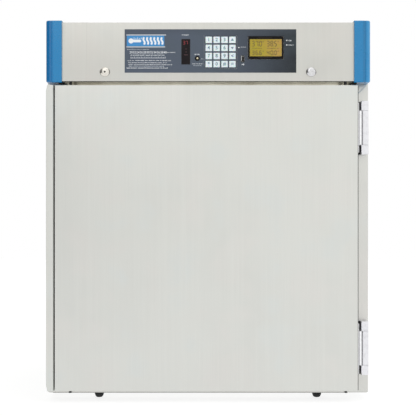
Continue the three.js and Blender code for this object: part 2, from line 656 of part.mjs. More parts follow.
add("chamber_liner", chamberLiner(), liningSteel);
add("insulation_jacket", insulationJacket(), mineralWool);
add("rear_baffle", rearBaffle(), liningSteel);
add("heater_element", heaterElement(), heaterSheath);
add("fan_motor", fanMotor(), motorPaint);
add("shelf_rack_left", shelfRack().mirror([1, 0, 0]), liningSteel);
add("shelf_rack_right", shelfRack(), liningSteel);
add("temperature_probe", temperatureProbe(), liningSteel);
place("fan_wheel", fanWheel(), aluminium, [0, HEATER.y + 1, FAN_Z]);
["shelf_lower", "shelf_upper"].forEach((name, i) => {
  place(name, wireShelf(), liningSteel, [0, 0, SHELF_Z[i]]);
});

add("header_fascia", headerFascia(), stainless);
add("control_overlay", controlOverlay(), slatePanel);
add("corner_cap_left", cornerCap(-1), bluePlastic);
add("corner_cap_right", cornerCap(1), bluePlastic);
add("display_bezel", displayBezel(), blackPlastic);
add("display_pane", displayPane(), displayGlass);
add("keypad_housing", keypadHousing(), slatePanel);
add("switch_housing", switchHousing(), blackPlastic);
add("control_board", controlBoard(), circuitBoard);
place("alarm_button", alarmButton(), zincPlate, [BUTTON.x, BUTTON_TOP_Y, controlZ(BUTTON)]);

const powerRocker = place("power_rocker", rocker(), blackPlastic, [ROCKER.x, ROCKER_Y, controlZ(ROCKER)]);
powerRocker.rotation.x = THREE.MathUtils.degToRad(ROCKER.tilt);

[["fascia_fastener_left", -1], ["fascia_fastener_right", 1]].forEach(([name, side]) => {
  place(name, fasciaFastener(), chrome, [side * FASTENER.x, PANEL_Y - GAP, controlZ(FASTENER)]);
});

const KEY_NAMES = [
  ["key_1", "key_2", "key_3", "key_up"],
  ["key_4", "key_5", "key_6", "key_down"],
  ["key_7", "key_8", "key_9", "key_clear"],
  ["key_star", "key_0", "key_hash", "key_enter"],
];
KEY_NAMES.forEach((names, row) => names.forEach((name, column) => {
  const x = spaced(4, KEYPAD.pitchX, KEYPAD.x)[column];
  const z = spaced(4, -KEYPAD.pitchZ, controlZ(KEYPAD))[row];
  place(name, keyCap(), keyPlastic, [x, KEY_TOP_Y, z]);
}));

add("door_outer_panel", doorOuterPanel(), stainless, door);
add("door_inner_panel", doorInnerPanel(), liningSteel, door);
add("door_insulation", doorInsulation(), mineralWool, door);
add("door_gasket", doorGasket(), gasketRubber, door);
add("door_pull", doorPull(), stainless, door);
["upper", "lower"].forEach((level, i) => {
  place(`${level}_hinge_frame_leaf`, hingeFrameLeaf(), chrome, [HINGE.x, HINGE.y, HINGE_Z[i]]);
  place(`${level}_hinge_pin`, hingePin(), zincPlate, [HINGE.x, HINGE.y, HINGE_Z[i]]);
  place(`${level}_hinge_door_leaf`, hingeDoorLeaf(), chrome, [0, 0, HINGE_Z[i]], door);
});

export default incubator;
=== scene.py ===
"""The looks of a laboratory incubator: a stainless steel cabinet with one solid door, a control header
with blue moulded corner caps, and a heated chamber with wire shelves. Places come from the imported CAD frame.
Shapes are built in millimetres, and piece() makes metres of them."""

import random
from math import atan2, cos, pi, radians, sin, tan

import bmesh
import bpy
from mathutils import Matrix, Vector


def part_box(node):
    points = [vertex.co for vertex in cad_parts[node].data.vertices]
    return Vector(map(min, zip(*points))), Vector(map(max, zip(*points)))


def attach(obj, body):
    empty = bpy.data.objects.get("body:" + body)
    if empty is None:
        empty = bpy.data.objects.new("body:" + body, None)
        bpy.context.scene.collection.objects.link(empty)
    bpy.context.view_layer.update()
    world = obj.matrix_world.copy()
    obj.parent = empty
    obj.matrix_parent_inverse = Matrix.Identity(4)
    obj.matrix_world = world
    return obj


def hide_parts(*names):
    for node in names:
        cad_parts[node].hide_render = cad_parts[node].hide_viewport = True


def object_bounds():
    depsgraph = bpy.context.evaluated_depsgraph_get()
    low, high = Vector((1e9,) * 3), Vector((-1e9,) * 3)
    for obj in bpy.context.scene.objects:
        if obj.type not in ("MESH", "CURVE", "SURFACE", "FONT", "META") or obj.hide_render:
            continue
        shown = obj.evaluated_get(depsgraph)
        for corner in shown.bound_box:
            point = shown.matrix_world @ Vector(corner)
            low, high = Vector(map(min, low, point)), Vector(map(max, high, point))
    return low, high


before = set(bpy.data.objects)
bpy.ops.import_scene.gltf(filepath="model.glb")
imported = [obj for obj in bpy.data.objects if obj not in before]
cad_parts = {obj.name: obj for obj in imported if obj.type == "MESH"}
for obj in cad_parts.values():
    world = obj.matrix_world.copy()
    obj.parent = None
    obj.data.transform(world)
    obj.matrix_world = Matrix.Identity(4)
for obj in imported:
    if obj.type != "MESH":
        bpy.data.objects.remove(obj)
cad_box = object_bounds()

MM = 0.001
MERGE = 1e-7  # metres: vertices closer than this become one
# Millimetres from here on
SHEET = 1.5
FOLD = 0.6  # the outer radius of a sheet's fold
PRINT = 0.03  # the thickness of a printed mark
POINT = 0.01  # the radius that stands for a turned shape's tip
ON_PLANE = 1e-3  # how far a vertex may be from a plane that it lies in


class Box:
    """A CAD node's bounding box, in millimetres."""

    def __init__(self, node):
        self.low, self.high = self.corners = [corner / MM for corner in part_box(node)]
        self.middle = (self.low + self.high) / 2
        self.size = self.high - self.low


def linked(name, data):
    """A new object in the scene."""
    obj = bpy.data.objects.new(name, data)
    bpy.context.scene.collection.objects.link(obj)
    return obj


def add_node(tree, kind, inputs=(), **options):
    """A shader node with its own options. Each of its inputs is a value or another node's output."""
    node = tree.nodes.new("ShaderNode" + kind)
    for name, value in options.items():
        setattr(node, name, value)
    for socket, value in dict(inputs).items():
        if isinstance(value, bpy.types.NodeSocket):
            tree.links.new(value, node.inputs[socket])
        else:
            node.inputs[socket].default_value = value
    return node


def map_range(tree, value, low, high, to_low, to_high, smooth="LINEAR"):
    inputs = {"Value": value, "From Min": low, "From Max": high, "To Min": to_low, "To Max": to_high}
    return add_node(tree, "MapRange", inputs, interpolation_type=smooth).outputs["Result"]


# ---- Camera, floor and light, in metres ----
CAMERA_DISTANCE = 2.3  # from the cabinet's front
CAMERA_HEIGHT = 0.457
CAMERA_LENS = 85
SENSOR_WIDTH = 36
FLOOR_REACH = 6


def add_camera():
    data = bpy.data.cameras.new("camera")
    data.lens = CAMERA_LENS
    data.sensor_width = SENSOR_WIDTH
    camera = linked("camera", data)
    camera.location = (0, cad_box[0].y - CAMERA_DISTANCE, CAMERA_HEIGHT)
    camera.rotation_euler = (radians(90), 0, 0)
    bpy.context.scene.camera = camera


def add_softbox(name, place, target, size, power):
    """A square area light that the camera doesn't see."""
    data = bpy.data.lights.new(name, "AREA")
    data.shape = "SQUARE"
    data.size = size
    data.energy = power
    light = linked(name, data)
    light.location = place
    light.rotation_euler = (Vector(target) - Vector(place)).to_track_quat("-Z", "Y").to_euler()
    light.visible_camera = False


def add_world():
    """A white surround for the camera. The object sees a studio: a bright front and right, a dark flag at
    the left, and a soft ceiling."""
    world = bpy.data.worlds.new("studio")
    world.use_nodes = True
    tree = world.node_tree
    tree.nodes.clear()
    axes = add_node(tree, "SeparateXYZ", {0: add_node(tree, "TexCoord").outputs["Generated"]}).outputs

    def ranged(axis, *limits, smooth="SMOOTHSTEP"):
        return map_range(tree, axes[axis], *limits, smooth)

    def combined(operation, first, second):
        return add_node(tree, "Math", {0: first, 1: second}, operation=operation).outputs[0]

    ramp = add_node(tree, "ValToRGB", {0: ranged("X", -1, 1, 0, 1, smooth="LINEAR")})
    stops = ramp.color_ramp.elements
    levels = [(-1, 0.16), (-0.6, 0.2), (-0.36, 1.0), (0, 1.04), (0.24, 1.13), (0.6, 1.1), (0.82, 0.7),
              (1, 0.35)]
    while len(stops) < len(levels):
        stops.new(0.5)
    for stop, (across, level) in zip(stops, levels):
        stop.position = (across + 1) / 2
        stop.color = (level, level, level, 1)
    in_front = combined("MULTIPLY", ramp.outputs[0], ranged("Y", 0.25, -0.25, 0, 1))
    behind = combined("MULTIPLY", ranged("Y", -0.25, 0.25, 0, 1), ranged("X", -0.7, 0.7, 0.34, 0.9))
    level = combined("MAXIMUM", combined("ADD", in_front, behind), ranged("Z", 0.45, 0.85, 0, 1))
    studio = add_node(tree, "Background", {"Color": (1.0, 1.0, 0.985, 1), "Strength": level})
    plain = add_node(tree, "Background", {"Color": (1, 1, 1, 1)})
    seen = add_node(tree, "LightPath").outputs["Is Camera Ray"]
    mix = add_node(tree, "MixShader", {"Fac": seen, 1: studio.outputs[0], 2: plain.outputs[0]})
    add_node(tree, "OutputWorld", {"Surface": mix.outputs[0]})
    bpy.context.scene.world = world


def add_floor():
    mesh = bpy.data.meshes.new("floor")
    corners = [(x * FLOOR_REACH, y * FLOOR_REACH, 0) for x, y in ((-1, -1), (1, -1), (1, 1), (-1, 1))]
    mesh.from_pydata(corners, [], [(0, 1, 2, 3)])
    material = bpy.data.materials.new("floor_paper")
    material.use_nodes = True
    surface = material.node_tree.nodes["Principled BSDF"]
    for socket, value in (("Base Color", (0.22, 0.22, 0.22, 1)), ("Roughness", 0.9),
                          ("Emission Color", (1, 1, 1, 1)), ("Emission Strength", 0.82)):
        surface.inputs[socket].default_value = value
    mesh.materials.append(material)
    floor = linked("floor", mesh)


# ---- Finishes ----
def srgb(red, green, blue):
    """A colour as a screen shows it, 0 to 255, in the renderer's linear terms."""
    def linear(value):
        value /= 255
        return value / 12.92 if value <= 0.04045 else ((value + 0.055) / 1.055) ** 2.4
    return (linear(red), linear(green), linear(blue), 1.0)


def tinted(color, *factors):
    """The colour with each channel scaled by its own factor."""
    return (*(min(1.0, channel * factor) for channel, factor in zip(color, factors)), 1.0)


def shade(color, factor):
    """The colour, lighter or darker by a factor."""
    return tinted(color, factor, factor, factor)


class Finish:
    """A material whose colour, roughness and relief vary with noise in the object's own coordinates. A
    factor is a node's output, or the numbers that noise() takes."""

    def __init__(self, name, color, roughness, metallic=0.0, constants=None):
        self.material = bpy.data.materials.new(name)
        self.material.use_nodes = True
        self.tree = self.material.node_tree
        self.surface = self.tree.nodes["Principled BSDF"]
        self.place = add_node(self.tree, "TexCoord").outputs["Object"]
        self.color = color
        self.now = {"Base Color": color, "Roughness": roughness}
        for socket, value in {**self.now, "Metallic": metallic, **(constants or {})}.items():
            self.surface.inputs[socket].default_value = value

    def feed(self, socket, output):
        """Connects the surface's input to an output, which the next layer of its kind builds on."""
        self.now[socket] = output
        self.tree.links.new(output, self.surface.inputs[socket])

    def noise(self, scale, detail=2.0, stretch=(1, 1, 1)):
        """Noise with scale features a metre, finer along an axis by its stretch."""
        mapping = add_node(self.tree, "Mapping", {"Scale": stretch, "Vector": self.place})
        inputs = {"Scale": scale, "Detail": detail, "Vector": mapping.outputs["Vector"]}
        return add_node(self.tree, "TexNoise", inputs).outputs[0]

    def source(self, factor):
        return self.noise(*factor) if isinstance(factor, tuple) else factor

    def ranged(self, factor, low, high, amount):
        return map_range(self.tree, self.source(factor), low, high, 0, amount)

    def along(self, axis, start, end):
        """0 at start and 1 at end, in millimetres along an axis."""
        axes = add_node(self.tree, "SeparateXYZ", {0: self.place})
        return self.ranged(axes.outputs[axis], start * MM, end * MM, 1)

    def product(self, first, second):
        inputs = {0: self.source(first), 1: self.source(second)}
        return add_node(self.tree, "Math", inputs, operation="MULTIPLY").outputs[0]

    def tint(self, factor, color, low=0.35, high=0.65, amount=1.0):
        """Lets another colour, or a darker or lighter shade, in where the factor is high."""
        if not isinstance(color, tuple):
            color = shade(self.color, color)
        inputs = {0: self.ranged(factor, low, high, amount), 6: self.now["Base Color"], 7: color}
        self.feed("Base Color", add_node(self.tree, "Mix", inputs, data_type="RGBA").outputs[2])

    def roughen(self, factor, change, low=0.35, high=0.65):
        """Adds to the roughness, up to change, where the factor is high."""
        inputs = {0: self.now["Roughness"], 1: self.ranged(factor, low, high, change)}
        self.feed("Roughness", add_node(self.tree, "Math", inputs).outputs[0])

    def bump(self, factor, distance, strength):
        """Relief of up to a distance in millimetres."""
        inputs = {"Distance": distance * MM, "Strength": strength, "Height": self.source(factor)}
        if "Normal" in self.now:
            inputs["Normal"] = self.now["Normal"]
        self.feed("Normal", add_node(self.tree, "Bump", inputs).outputs["Normal"])


GRAINS = {"x": (5, 700, 700), "z": (700, 700, 5)}
STREAKS = {"x": (1.5, 90, 90), "z": (90, 90, 1.5)}


def brushed_steel(name, color, roughness, grain="z", handled=1.0):
    """Stainless sheet with a brushed grain, faint warm and cool clouding, rare scratches and smudges."""
    finish = Finish(name, color, roughness, 1.0, {"Anisotropic": 0.3})
    fine = finish.noise(1, 3, GRAINS[grain])
    clouds = finish.noise(4.2, 2)
    patches = finish.noise(9, 2)
    scratches = (1, 1, tuple(value * 0.55 for value in GRAINS[grain]))
    finish.tint(clouds, 0.965, 0.45, 0.66)
    finish.tint(patches, tinted(color, 1.012, 0.99, 0.992), 0.5, 0.66, 0.9)
    finish.tint(patches, tinted(color, 0.975, 0.995, 1.01), 0.44, 0.34, 0.9)
    finish.tint((1, 2, STREAKS[grain]), 1.02, 0.45, 0.75, 0.6)
    finish.tint(fine, 0.95, 0.3, 0.8, 0.5)
    finish.tint(scratches, 0.78, 0.75, 0.79, 0.3 * handled)
    finish.roughen(fine, 0.08, 0.25, 0.75)
    finish.roughen((11, 4), 0.07 * handled, 0.54, 0.7)
    finish.bump(fine, 0.008, 0.5)
    finish.bump(clouds, 0.7, 0.05)
    return finish.material


def under_header_steel():
    """The front frame's upper rail: plain steel, lighter and warmer along its top with a painted reflection of
    the tray above, blotched with painted brown shade.
    """
    top = Box("chamber_liner").high.z
    finish = Finish("steel_rail", srgb(220, 220, 215), 0.2, 1.0)
    painted_reflection_band = finish.along("Z", top - 16, top - 8)
    finish.tint((1, 3, GRAINS["z"]), 0.95, 0.3, 0.8, 0.5)
    # Painted light: a lighter warm band along the top in place of the tray's reflection, with painted brown
    # shade in noisy patches.
    finish.tint(painted_reflection_band, srgb(226, 223, 210), 0, 1)
    finish.tint(finish.product(painted_reflection_band, (9, 2, (1, 0.1, 0.1))), srgb(160, 155, 138), 0.42, 0.62, 0.7)
    return finish.material


def cap_plastic(name, color, painted_edge_shading, start, end, groove=None):
    """The corner caps' blue plastic, with painted shading over the round edge between start and end, and
    painted shade in the groove when one is given.
    """
    finish = Finish(name, color, 0.24, 0.0, {"Specular IOR Level": 0.5})
    # Painted shading: a set colour across the round edge stands in for how light falls on it.
    finish.tint(finish.along("X", start, end), painted_edge_shading, 0, 1)
    if groove:
        # Painted shade darkens the groove between its edges.
        sides = (finish.along("X", *groove[:2]), finish.along("X", *groove[:1:-1]))
        finish.tint(finish.product(*sides), 0.74, 0, 1)
    finish.tint((9, 2), 0.92, 0.4, 0.7, 0.6)
    finish.tint((240, 3), 1.1, 0.5, 0.85, 0.2)
    finish.roughen((30, 3), 0.1, 0.45, 0.7)
    finish.bump((1100, 2), 0.006, 0.5)
    return finish.material


def polished_metal(name, color, roughness):
    """Bright metal with fine random scratches and a little tarnish."""
    finish = Finish(name, color, roughness, 1.0)
    finish.tint((160, 3), 0.88, 0.45, 0.75)
    finish.roughen((420, 2, (1, 1, 0.2)), 0.12, 0.4, 0.8)
    finish.bump((900, 2, (1, 1, 0.1)), 0.008, 0.4)
    return finish.material


def moulded_plastic(name, color, roughness, texture=900, relief=0.02, constants=None):
    """Moulded plastic with a spark-eroded texture, slight flow shading and scuffs."""
    finish = Finish(name, color, roughness, 0.0, constants)
    finish.tint((9, 2), 0.9, 0.4, 0.7)
    finish.tint((240, 3), 1.12, 0.5, 0.85, 0.5)
    finish.roughen((30, 3), 0.12, 0.45, 0.7)
    finish.bump((texture, 2), relief, 0.5)
    return finish.material


def rubber(name, color, roughness=0.72):
    """Rubber with a fine skin texture and a bloom of dust."""
    finish = Finish(name, color, roughness)
    finish.tint((120, 4), 2.2, 0.52, 0.8, 0.6)
    finish.roughen((60, 2), 0.15)
    finish.bump((1600, 2), 0.03, 0.6)
    return finish.material


def overlay_film():
    """The printed control overlay: fine velvet texture, and painted shade that darkens it towards its right
    end in place of a darker reflection.
    """
    overlay = Box("control_overlay")
    finish = Finish("overlay_film", srgb(82, 91, 106), 0.42, 0.0, {"Specular IOR Level": 0.25})
    # Painted shade: darker towards the right end, standing in for a reflection gradient.
    finish.tint(finish.along("X", overlay.middle.x, overlay.high.x), srgb(30, 35, 38), 0, 1, 0.95)
    finish.tint(finish.along("Z", overlay.high.z - 16, overlay.high.z), srgb(70, 76, 86), 0, 1, 0.5)
    finish.tint((14, 3), srgb(74, 86, 92), 0.4, 0.7, 0.35)
    finish.tint((900, 2), srgb(98, 106, 118), 0.55, 0.8, 0.25)
    finish.roughen((40, 3), 0.12)
    finish.bump((2600, 2), 0.012, 0.5)
    return finish.material


def lit_display():
    """The display's yellow backlight through liquid crystal glass, uneven across the pane."""
    pane = Box("display_pane")
    glow = {"Emission Color": srgb(190, 170, 60), "Emission Strength": 0.06, "Specular IOR Level": 0.3}
    finish = Finish("display_backlight", srgb(164, 145, 44), 0.16, 0.0, glow)
    amber = finish.along("X", pane.low.x + 0.3 * pane.size.x, pane.high.x)
    finish.tint(amber, srgb(178, 136, 80), 0, 1, 0.8)
    finish.tint((60, 2), srgb(158, 147, 42), 0.4, 0.65, 0.6)
    finish.tint((34, 1), srgb(150, 124, 44), 0.5, 0.75, 0.6)
    finish.bump((3000, 1), 0.002, 0.3)
    return finish.material


def glowing(name, color, strength, roughness=0.3):
    """A lit indicator or digit, or a faint painted glow on a mark that is not lit."""
    finish = Finish(name, color, roughness, 0.0, {"Emission Color": color, "Emission Strength": strength})
    finish.tint((700, 2), 0.8, 0.4, 0.7)
    return finish.material


def ink(name, color):
    """Screen-printed ink, slightly uneven."""
    finish = Finish(name, color, 0.6)
    finish.tint((1500, 2), 0.82, 0.45, 0.75)
    finish.roughen((900, 2), 0.15)
    return finish.material


def wool(name, color):
    """Mineral wool: matted fibres."""
    finish = Finish(name, color, 0.95, 0.0, {"Sheen Weight": 0.2})
    finish.tint((220, 5, (1, 1, 0.25)), 0.6)
    finish.bump((500, 4, (1, 1, 0.2)), 1.2, 0.8)
    return finish.material


STEEL = srgb(214, 215, 211)
steel_front = brushed_steel("steel_front", STEEL, 0.36, handled=0.5)
steel_header = brushed_steel("steel_header", tinted(STEEL, 0.925, 0.912, 0.9), 0.36)
steel_side = brushed_steel("steel_side", shade(STEEL, 0.98), 0.38)
steel_top = brushed_steel("steel_top", shade(STEEL, 0.98), 0.38, "x", 0.5)
steel_frame = brushed_steel("steel_frame", srgb(210, 210, 206), 0.3, handled=0.7)
steel_rail = under_header_steel()
steel_lining = brushed_steel("steel_lining", srgb(196, 198, 197), 0.27, handled=0.8)
steel_back = brushed_steel("steel_back", srgb(190, 192, 191), 0.44, handled=0.6)
# Painted light: the tray's steel is lighter and warmer than plain steel, to lift the shaded gap under the
# header.
steel_tray_painted_light = brushed_steel("steel_tray_painted_light", srgb(228, 225, 214), 0.14, "x", 0.5)
steel_wire = polished_metal("electropolished_wire", srgb(205, 207, 208), 0.24)
bright_hinge = polished_metal("bright_hinge", srgb(228, 228, 232), 0.32)
# Shaded and lit copies of the hinge metal: the darker gives the web painted shade, the brighter gives the door
# plate a painted highlight.
hinge_painted_shade = polished_metal("hinge_painted_shade", srgb(172, 172, 173), 0.4)
hinge_painted_highlight = polished_metal("hinge_painted_highlight", srgb(244, 244, 246), 0.3)
zinc = polished_metal("zinc_plate", srgb(190, 192, 196), 0.33)
chrome = polished_metal("chrome", srgb(214, 214, 216), 0.14)
chrome_warm = polished_metal("chrome_warm", srgb(226, 222, 214), 0.15)
brass = polished_metal("brass_contact", srgb(206, 178, 112), 0.3)
button_gold = polished_metal("button_gold", srgb(232, 222, 190), 0.35)
fan_aluminium = polished_metal("cast_aluminium", srgb(176, 178, 181), 0.42)
heater_sheath = polished_metal("heater_sheath", srgb(104, 88, 78), 0.5)
nickel_dark = polished_metal("blackened_nickel", srgb(58, 52, 47), 0.28)
CAP_BLUE = srgb(22, 127, 184)
# Shaded and lit copies of one blue: the left cap's round edge gets painted shade, the right cap's gets painted
# light and painted shade in its groove.
blue_painted_shade_left = cap_plastic("blue_plastic_painted_shade_left", CAP_BLUE, srgb(4, 99, 158), -361, -368.5)
blue_painted_light_and_shade_right = cap_plastic("blue_plastic_painted_light_and_shade_right", CAP_BLUE, srgb(70, 152, 204), 370, 379, (362, 365, 368, 371))
blue_print = moulded_plastic("blue_nameplate", srgb(56, 138, 200), 0.35, 1800, 0.008)
key_plastic = moulded_plastic("key_plastic", srgb(226, 238, 242), 0.38, 1400, 0.01,
                              {"Subsurface Weight": 0.15, "Subsurface Scale": 0.004})
black_plastic = moulded_plastic("black_plastic", srgb(26, 26, 28), 0.42)
bezel_plastic = moulded_plastic("bezel_plastic", srgb(14, 11, 11), 0.5, 1400, 0.01,
                                {"Specular IOR Level": 0.15})
pale_plastic = moulded_plastic("pale_plastic", srgb(206, 205, 212), 0.35)
grey_plastic = moulded_plastic("grey_plastic", srgb(168, 170, 172), 0.45)
motor_paint = moulded_plastic("motor_paint", srgb(40, 43, 47), 0.5, 500, 0.05)
circuit_green = moulded_plastic("circuit_board", srgb(30, 84, 56), 0.45)
foot_rubber = rubber("foot_rubber", srgb(26, 27, 27))
plug_rubber = rubber("plug_rubber", srgb(16, 16, 17))
gasket_rubber = rubber("gasket_rubber", srgb(150, 150, 147), 0.6)
mineral_wool = wool("mineral_wool", srgb(214, 200, 150))
film = overlay_film()
backlight = lit_display()
dark_window = moulded_plastic("dark_window", srgb(15, 7, 12), 0.2, 2400, 0.002, {"Specular IOR Level": 0.2})
crystal = moulded_plastic("display_segments", srgb(106, 90, 36), 0.3)
red_segments = glowing("red_segments", srgb(140, 34, 44), 0.14)
# The readout's unlit marks get a faint painted glow.
dim_segments_painted_glow = glowing("dim_segments_painted_glow", srgb(66, 34, 40), 0.05)
lamp_clear = glowing("indicator_lens", srgb(214, 218, 220), 0.12, 0.18)
white_ink = ink("white_ink", srgb(236, 240, 244))
pale_ink = ink("pale_ink", srgb(204, 212, 220))
key_ink = ink("key_ink", srgb(110, 138, 150))


# ---- Outlines, as lists of pairs ----
def quarter_turn(steps, start=0):
    """Angles in even steps up to a right angle."""
    return [i / steps * pi / 2 for i in range(start, steps + 1)]


def quarter_round(radius, steps, start=0):
    """(inset, drop) pairs down a rounded edge, from (0, radius) to (radius, 0)."""
    return [(radius * (1 - cos(turn)), radius * (1 - sin(turn))) for turn in quarter_turn(steps, start)]


def circle(radius, steps=48):
    angles = [2 * pi * i / steps for i in range(steps)]
    return [(radius * cos(angle), radius * sin(angle)) for angle in angles]


def hexagon(across_corners, steps=48):
    """A hexagon with as many points as a circle, so that the two can be joined."""
    points = []
    for a, b in circle(1, steps):
        within = (atan2(b, a) % (pi / 3)) - pi / 6
        radius = across_corners * cos(pi / 6) / cos(within)
        points.append((radius * a, radius * b))
    return points


def rounded_rectangle(width, height, radius, steps=5):
    """A rectangle about the origin, with round corners."""
    points = []
    for quarter, (side_a, side_b) in enumerate(((1, 1), (-1, 1), (-1, -1), (1, -1))):
        centre = (side_a * (width / 2 - radius), side_b * (height / 2 - radius))
        for i in range(steps + 1):
            angle = (quarter + i / steps) * pi / 2
            points.append((centre[0] + radius * cos(angle), centre[1] + radius * sin(angle)))
    return points


def rounded_path(corners, radii, steps=5):
    """A path of corners with each inner corner turned into an arc, each of its own radius."""
    corners = [Vector(corner) for corner in corners]
    path = [corners[0]]
    for before, corner, after, radius in zip(corners, corners[1:], corners[2:], radii):
        back, ahead = (before - corner).normalized(), (after - corner).normalized()
        half = back.angle(ahead) / 2
        centre = corner + (back + ahead).normalized() * radius / sin(half)
        start = corner + back * radius / tan(half) - centre
        end = corner + ahead * radius / tan(half) - centre
        turn = atan2(start.x * end.y - start.y * end.x, start.dot(end))
        path += [centre + Matrix.Rotation(turn * i / steps, 2) @ start for i in range(steps + 1)]
    return [*path, corners[-1]]


def upright(outline, x, y, z):
    """The outline as points in space, facing -Y about a centre."""
    return [(x + a, y, z + b) for a, b in outline]


# ---- Mesh helpers: each adds to a bmesh, in millimetres, in the part's frame ----
def piece(name, bm, materials, body, replaced=(), smooth=40):
    """Turns a bmesh into a piece that rides on a CAD body."""
    bmesh.ops.scale(bm, vec=(MM, MM, MM), verts=bm.verts)
    bmesh.ops.remove_doubles(bm, verts=bm.verts, dist=MERGE)
    bmesh.ops.recalc_face_normals(bm, faces=bm.faces)
    mesh = bpy.data.meshes.new(name)
    bm.to_mesh(mesh)
    bm.free()
    for material in materials:
        mesh.materials.append(material)
    for polygon in mesh.polygons:
        polygon.use_smooth = True
    mesh.set_sharp_from_angle(angle=radians(smooth))
    obj = linked(name, mesh)
    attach(obj, body)
    if replaced:
        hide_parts(*replaced)
    return obj


def thicken(obj, thickness):
    """Gives a skin its sheet's thickness, inwards."""
    wall = obj.modifiers.new("sheet", "SOLIDIFY")
    wall.thickness = thickness * MM
    wall.offset = -1


def loft(bm, sections, closed_ends=(True, True), material=0):
    """A skin over sections with equal numbers of points, each section a closed loop."""
    rings = [[bm.verts.new(point) for point in section] for section in sections]
    faces = []
    for ring, following in zip(rings, rings[1:]):
        for i in range(len(ring)):
            j = (i + 1) % len(ring)
            faces.append(bm.faces.new((ring[i], ring[j], following[j], following[i])))
    for wanted, ring in zip(closed_ends, (rings[0], rings[-1])):
        if wanted:
            faces.append(bm.faces.new(ring))
    for face in faces:
        face.material_index = material


def plate(bm, x, z, width, height, y_front, y_back, corner=1, edge=0.3, material=0, steps=3):
    """A plate that faces -Y, with round corners and a rounded front edge."""
    def section(inset, y):
        radius = max(corner - inset, 0.05)
        return upright(rounded_rectangle(width - 2 * inset, height - 2 * inset, radius), x, y, z)
    sections = [section(inset, y_front + drop) for inset, drop in quarter_round(edge, steps)]
    loft(bm, [section(0, y_back), *sections], material=material)


def stamp(bm, outline, y, thickness=PRINT, material=0):
    """A flat mark of (x, z) points."""
    loft(bm, [[(a, y + depth, b) for a, b in outline] for depth in (0, thickness)], material=material)


def prism(bm, outline, low, high):
    """An upright bar of (x, y) points."""
    loft(bm, [[(*point, z) for point in outline] for z in (low, high)])


AXES = {
    "x": lambda along, a, b: Vector((along, a, b)),
    "y": lambda along, a, b: Vector((a, along, b)),
    "z": lambda along, a, b: Vector((a, b, along)),
}


def turned(bm, profile, centre, axis="y", steps=48, material=0, hollow=False):
    """A turned solid from (radius, distance along the axis) points: closed flat at both ends, or a ring
    whose profile closes on itself."""
    if hollow:
        profile = [*profile, profile[0]]
    sections = [[Vector(centre) + AXES[axis](distance, a, b) for a, b in circle(radius or POINT, steps)]
                for radius, distance in profile]
    loft(bm, sections, (not hollow, not hollow), material)


def block(bm, low, high, radius, segments=2, material=0):
    """A box between two corners, with rounded edges."""
    low, high = Vector(low), Vector(high)
    made = bmesh.ops.create_cube(bm, size=1.0)["verts"]
    for vertex in made:
        share = vertex.co + Vector((0.5, 0.5, 0.5))
        vertex.co = Vector(low[i] + share[i] * (high[i] - low[i]) for i in range(3))
    for face in {face for vertex in made for face in vertex.link_faces}:
        face.material_index = material
    edges = list({edge for vertex in made for edge in vertex.link_edges})
    bmesh.ops.bevel(bm, geom=edges, offset=radius, segments=segments, profile=0.5, affect="EDGES",
                    clamp_overlap=True, material=-1)


def folded_sheet(bm, corners, radii, thickness, span, axis):
    """Sheet bent along a path of corners and drawn out over a span of an axis. Its thickness lies to the
    left of the path."""
    outer = rounded_path(corners, radii)
    inner = []
    for i, point in enumerate(outer):
        ahead = outer[min(i + 1, len(outer) - 1)] - outer[max(i - 1, 0)]
        inner.append(point + Vector((-ahead.y, ahead.x)).normalized() * thickness)
    outline = outer + inner[::-1]
    loft(bm, [[AXES[axis](end, *point) for point in outline] for end in span])


def bisect(bm, point, normal, **options):
    """Cuts everything in the bmesh by a plane."""
    return bmesh.ops.bisect_plane(bm, geom=bm.verts[:] + bm.edges[:] + bm.faces[:], dist=MERGE / MM,
                                  plane_co=point, plane_no=normal, **options)


def tube(bm, points, radius, sides, closed=False):
    """A round bar along a path of points."""
    points = [Vector(point) for point in points]
    count = len(points)
    rings = []
    across = None
    for i, point in enumerate(points):
        before = points[i - 1] if (i or closed) else point
        after = points[(i + 1) % count] if (i < count - 1 or closed) else point
        ahead = (after - before).normalized()
        if across is None:
            across = ahead.orthogonal().normalized()
        across = (across - ahead * across.dot(ahead)).normalized()
        other = ahead.cross(across)
        rings.append([point + across * (radius * a) + other * (radius * b) for a, b in circle(1, sides)])
    if closed:
        rings.append(rings[0])
    loft(bm, rings, (not closed, not closed))


def lettering(bm, text, size, x, z, y, weight, material=0):
    """Printed text that faces -Y, with its middle at (x, z)."""
    curve = bpy.data.curves.new("lettering", "FONT")
    curve.body = text
    curve.size = size * MM
    curve.align_x = curve.align_y = "CENTER"
    curve.resolution_u = 3
    curve.offset = weight * MM
    curve.extrude = PRINT / 2 * MM
    obj = linked("lettering", curve)
    mesh = bpy.data.meshes.new_from_object(obj.evaluated_get(bpy.context.evaluated_depsgraph_get()))
    mesh.transform(Matrix.Translation((x, y, z)) @ Matrix.Rotation(pi / 2, 4, "X")
                   @ Matrix.Scale(1 / MM, 4))
    first = len(bm.faces)
    bm.from_mesh(mesh)
    bm.faces.ensure_lookup_table()
    for face in bm.faces[first:]:
        face.material_index = material
    bpy.data.objects.remove(obj)
    bpy.data.curves.remove(curve)
    bpy.data.meshes.remove(mesh)


SEGMENTS = {"0": "abcdef", "3": "abgcd", "4": "fgbc", "5": "afgcd", "6": "afgedc", "7": "abc",
            "8": "abcdefg"}


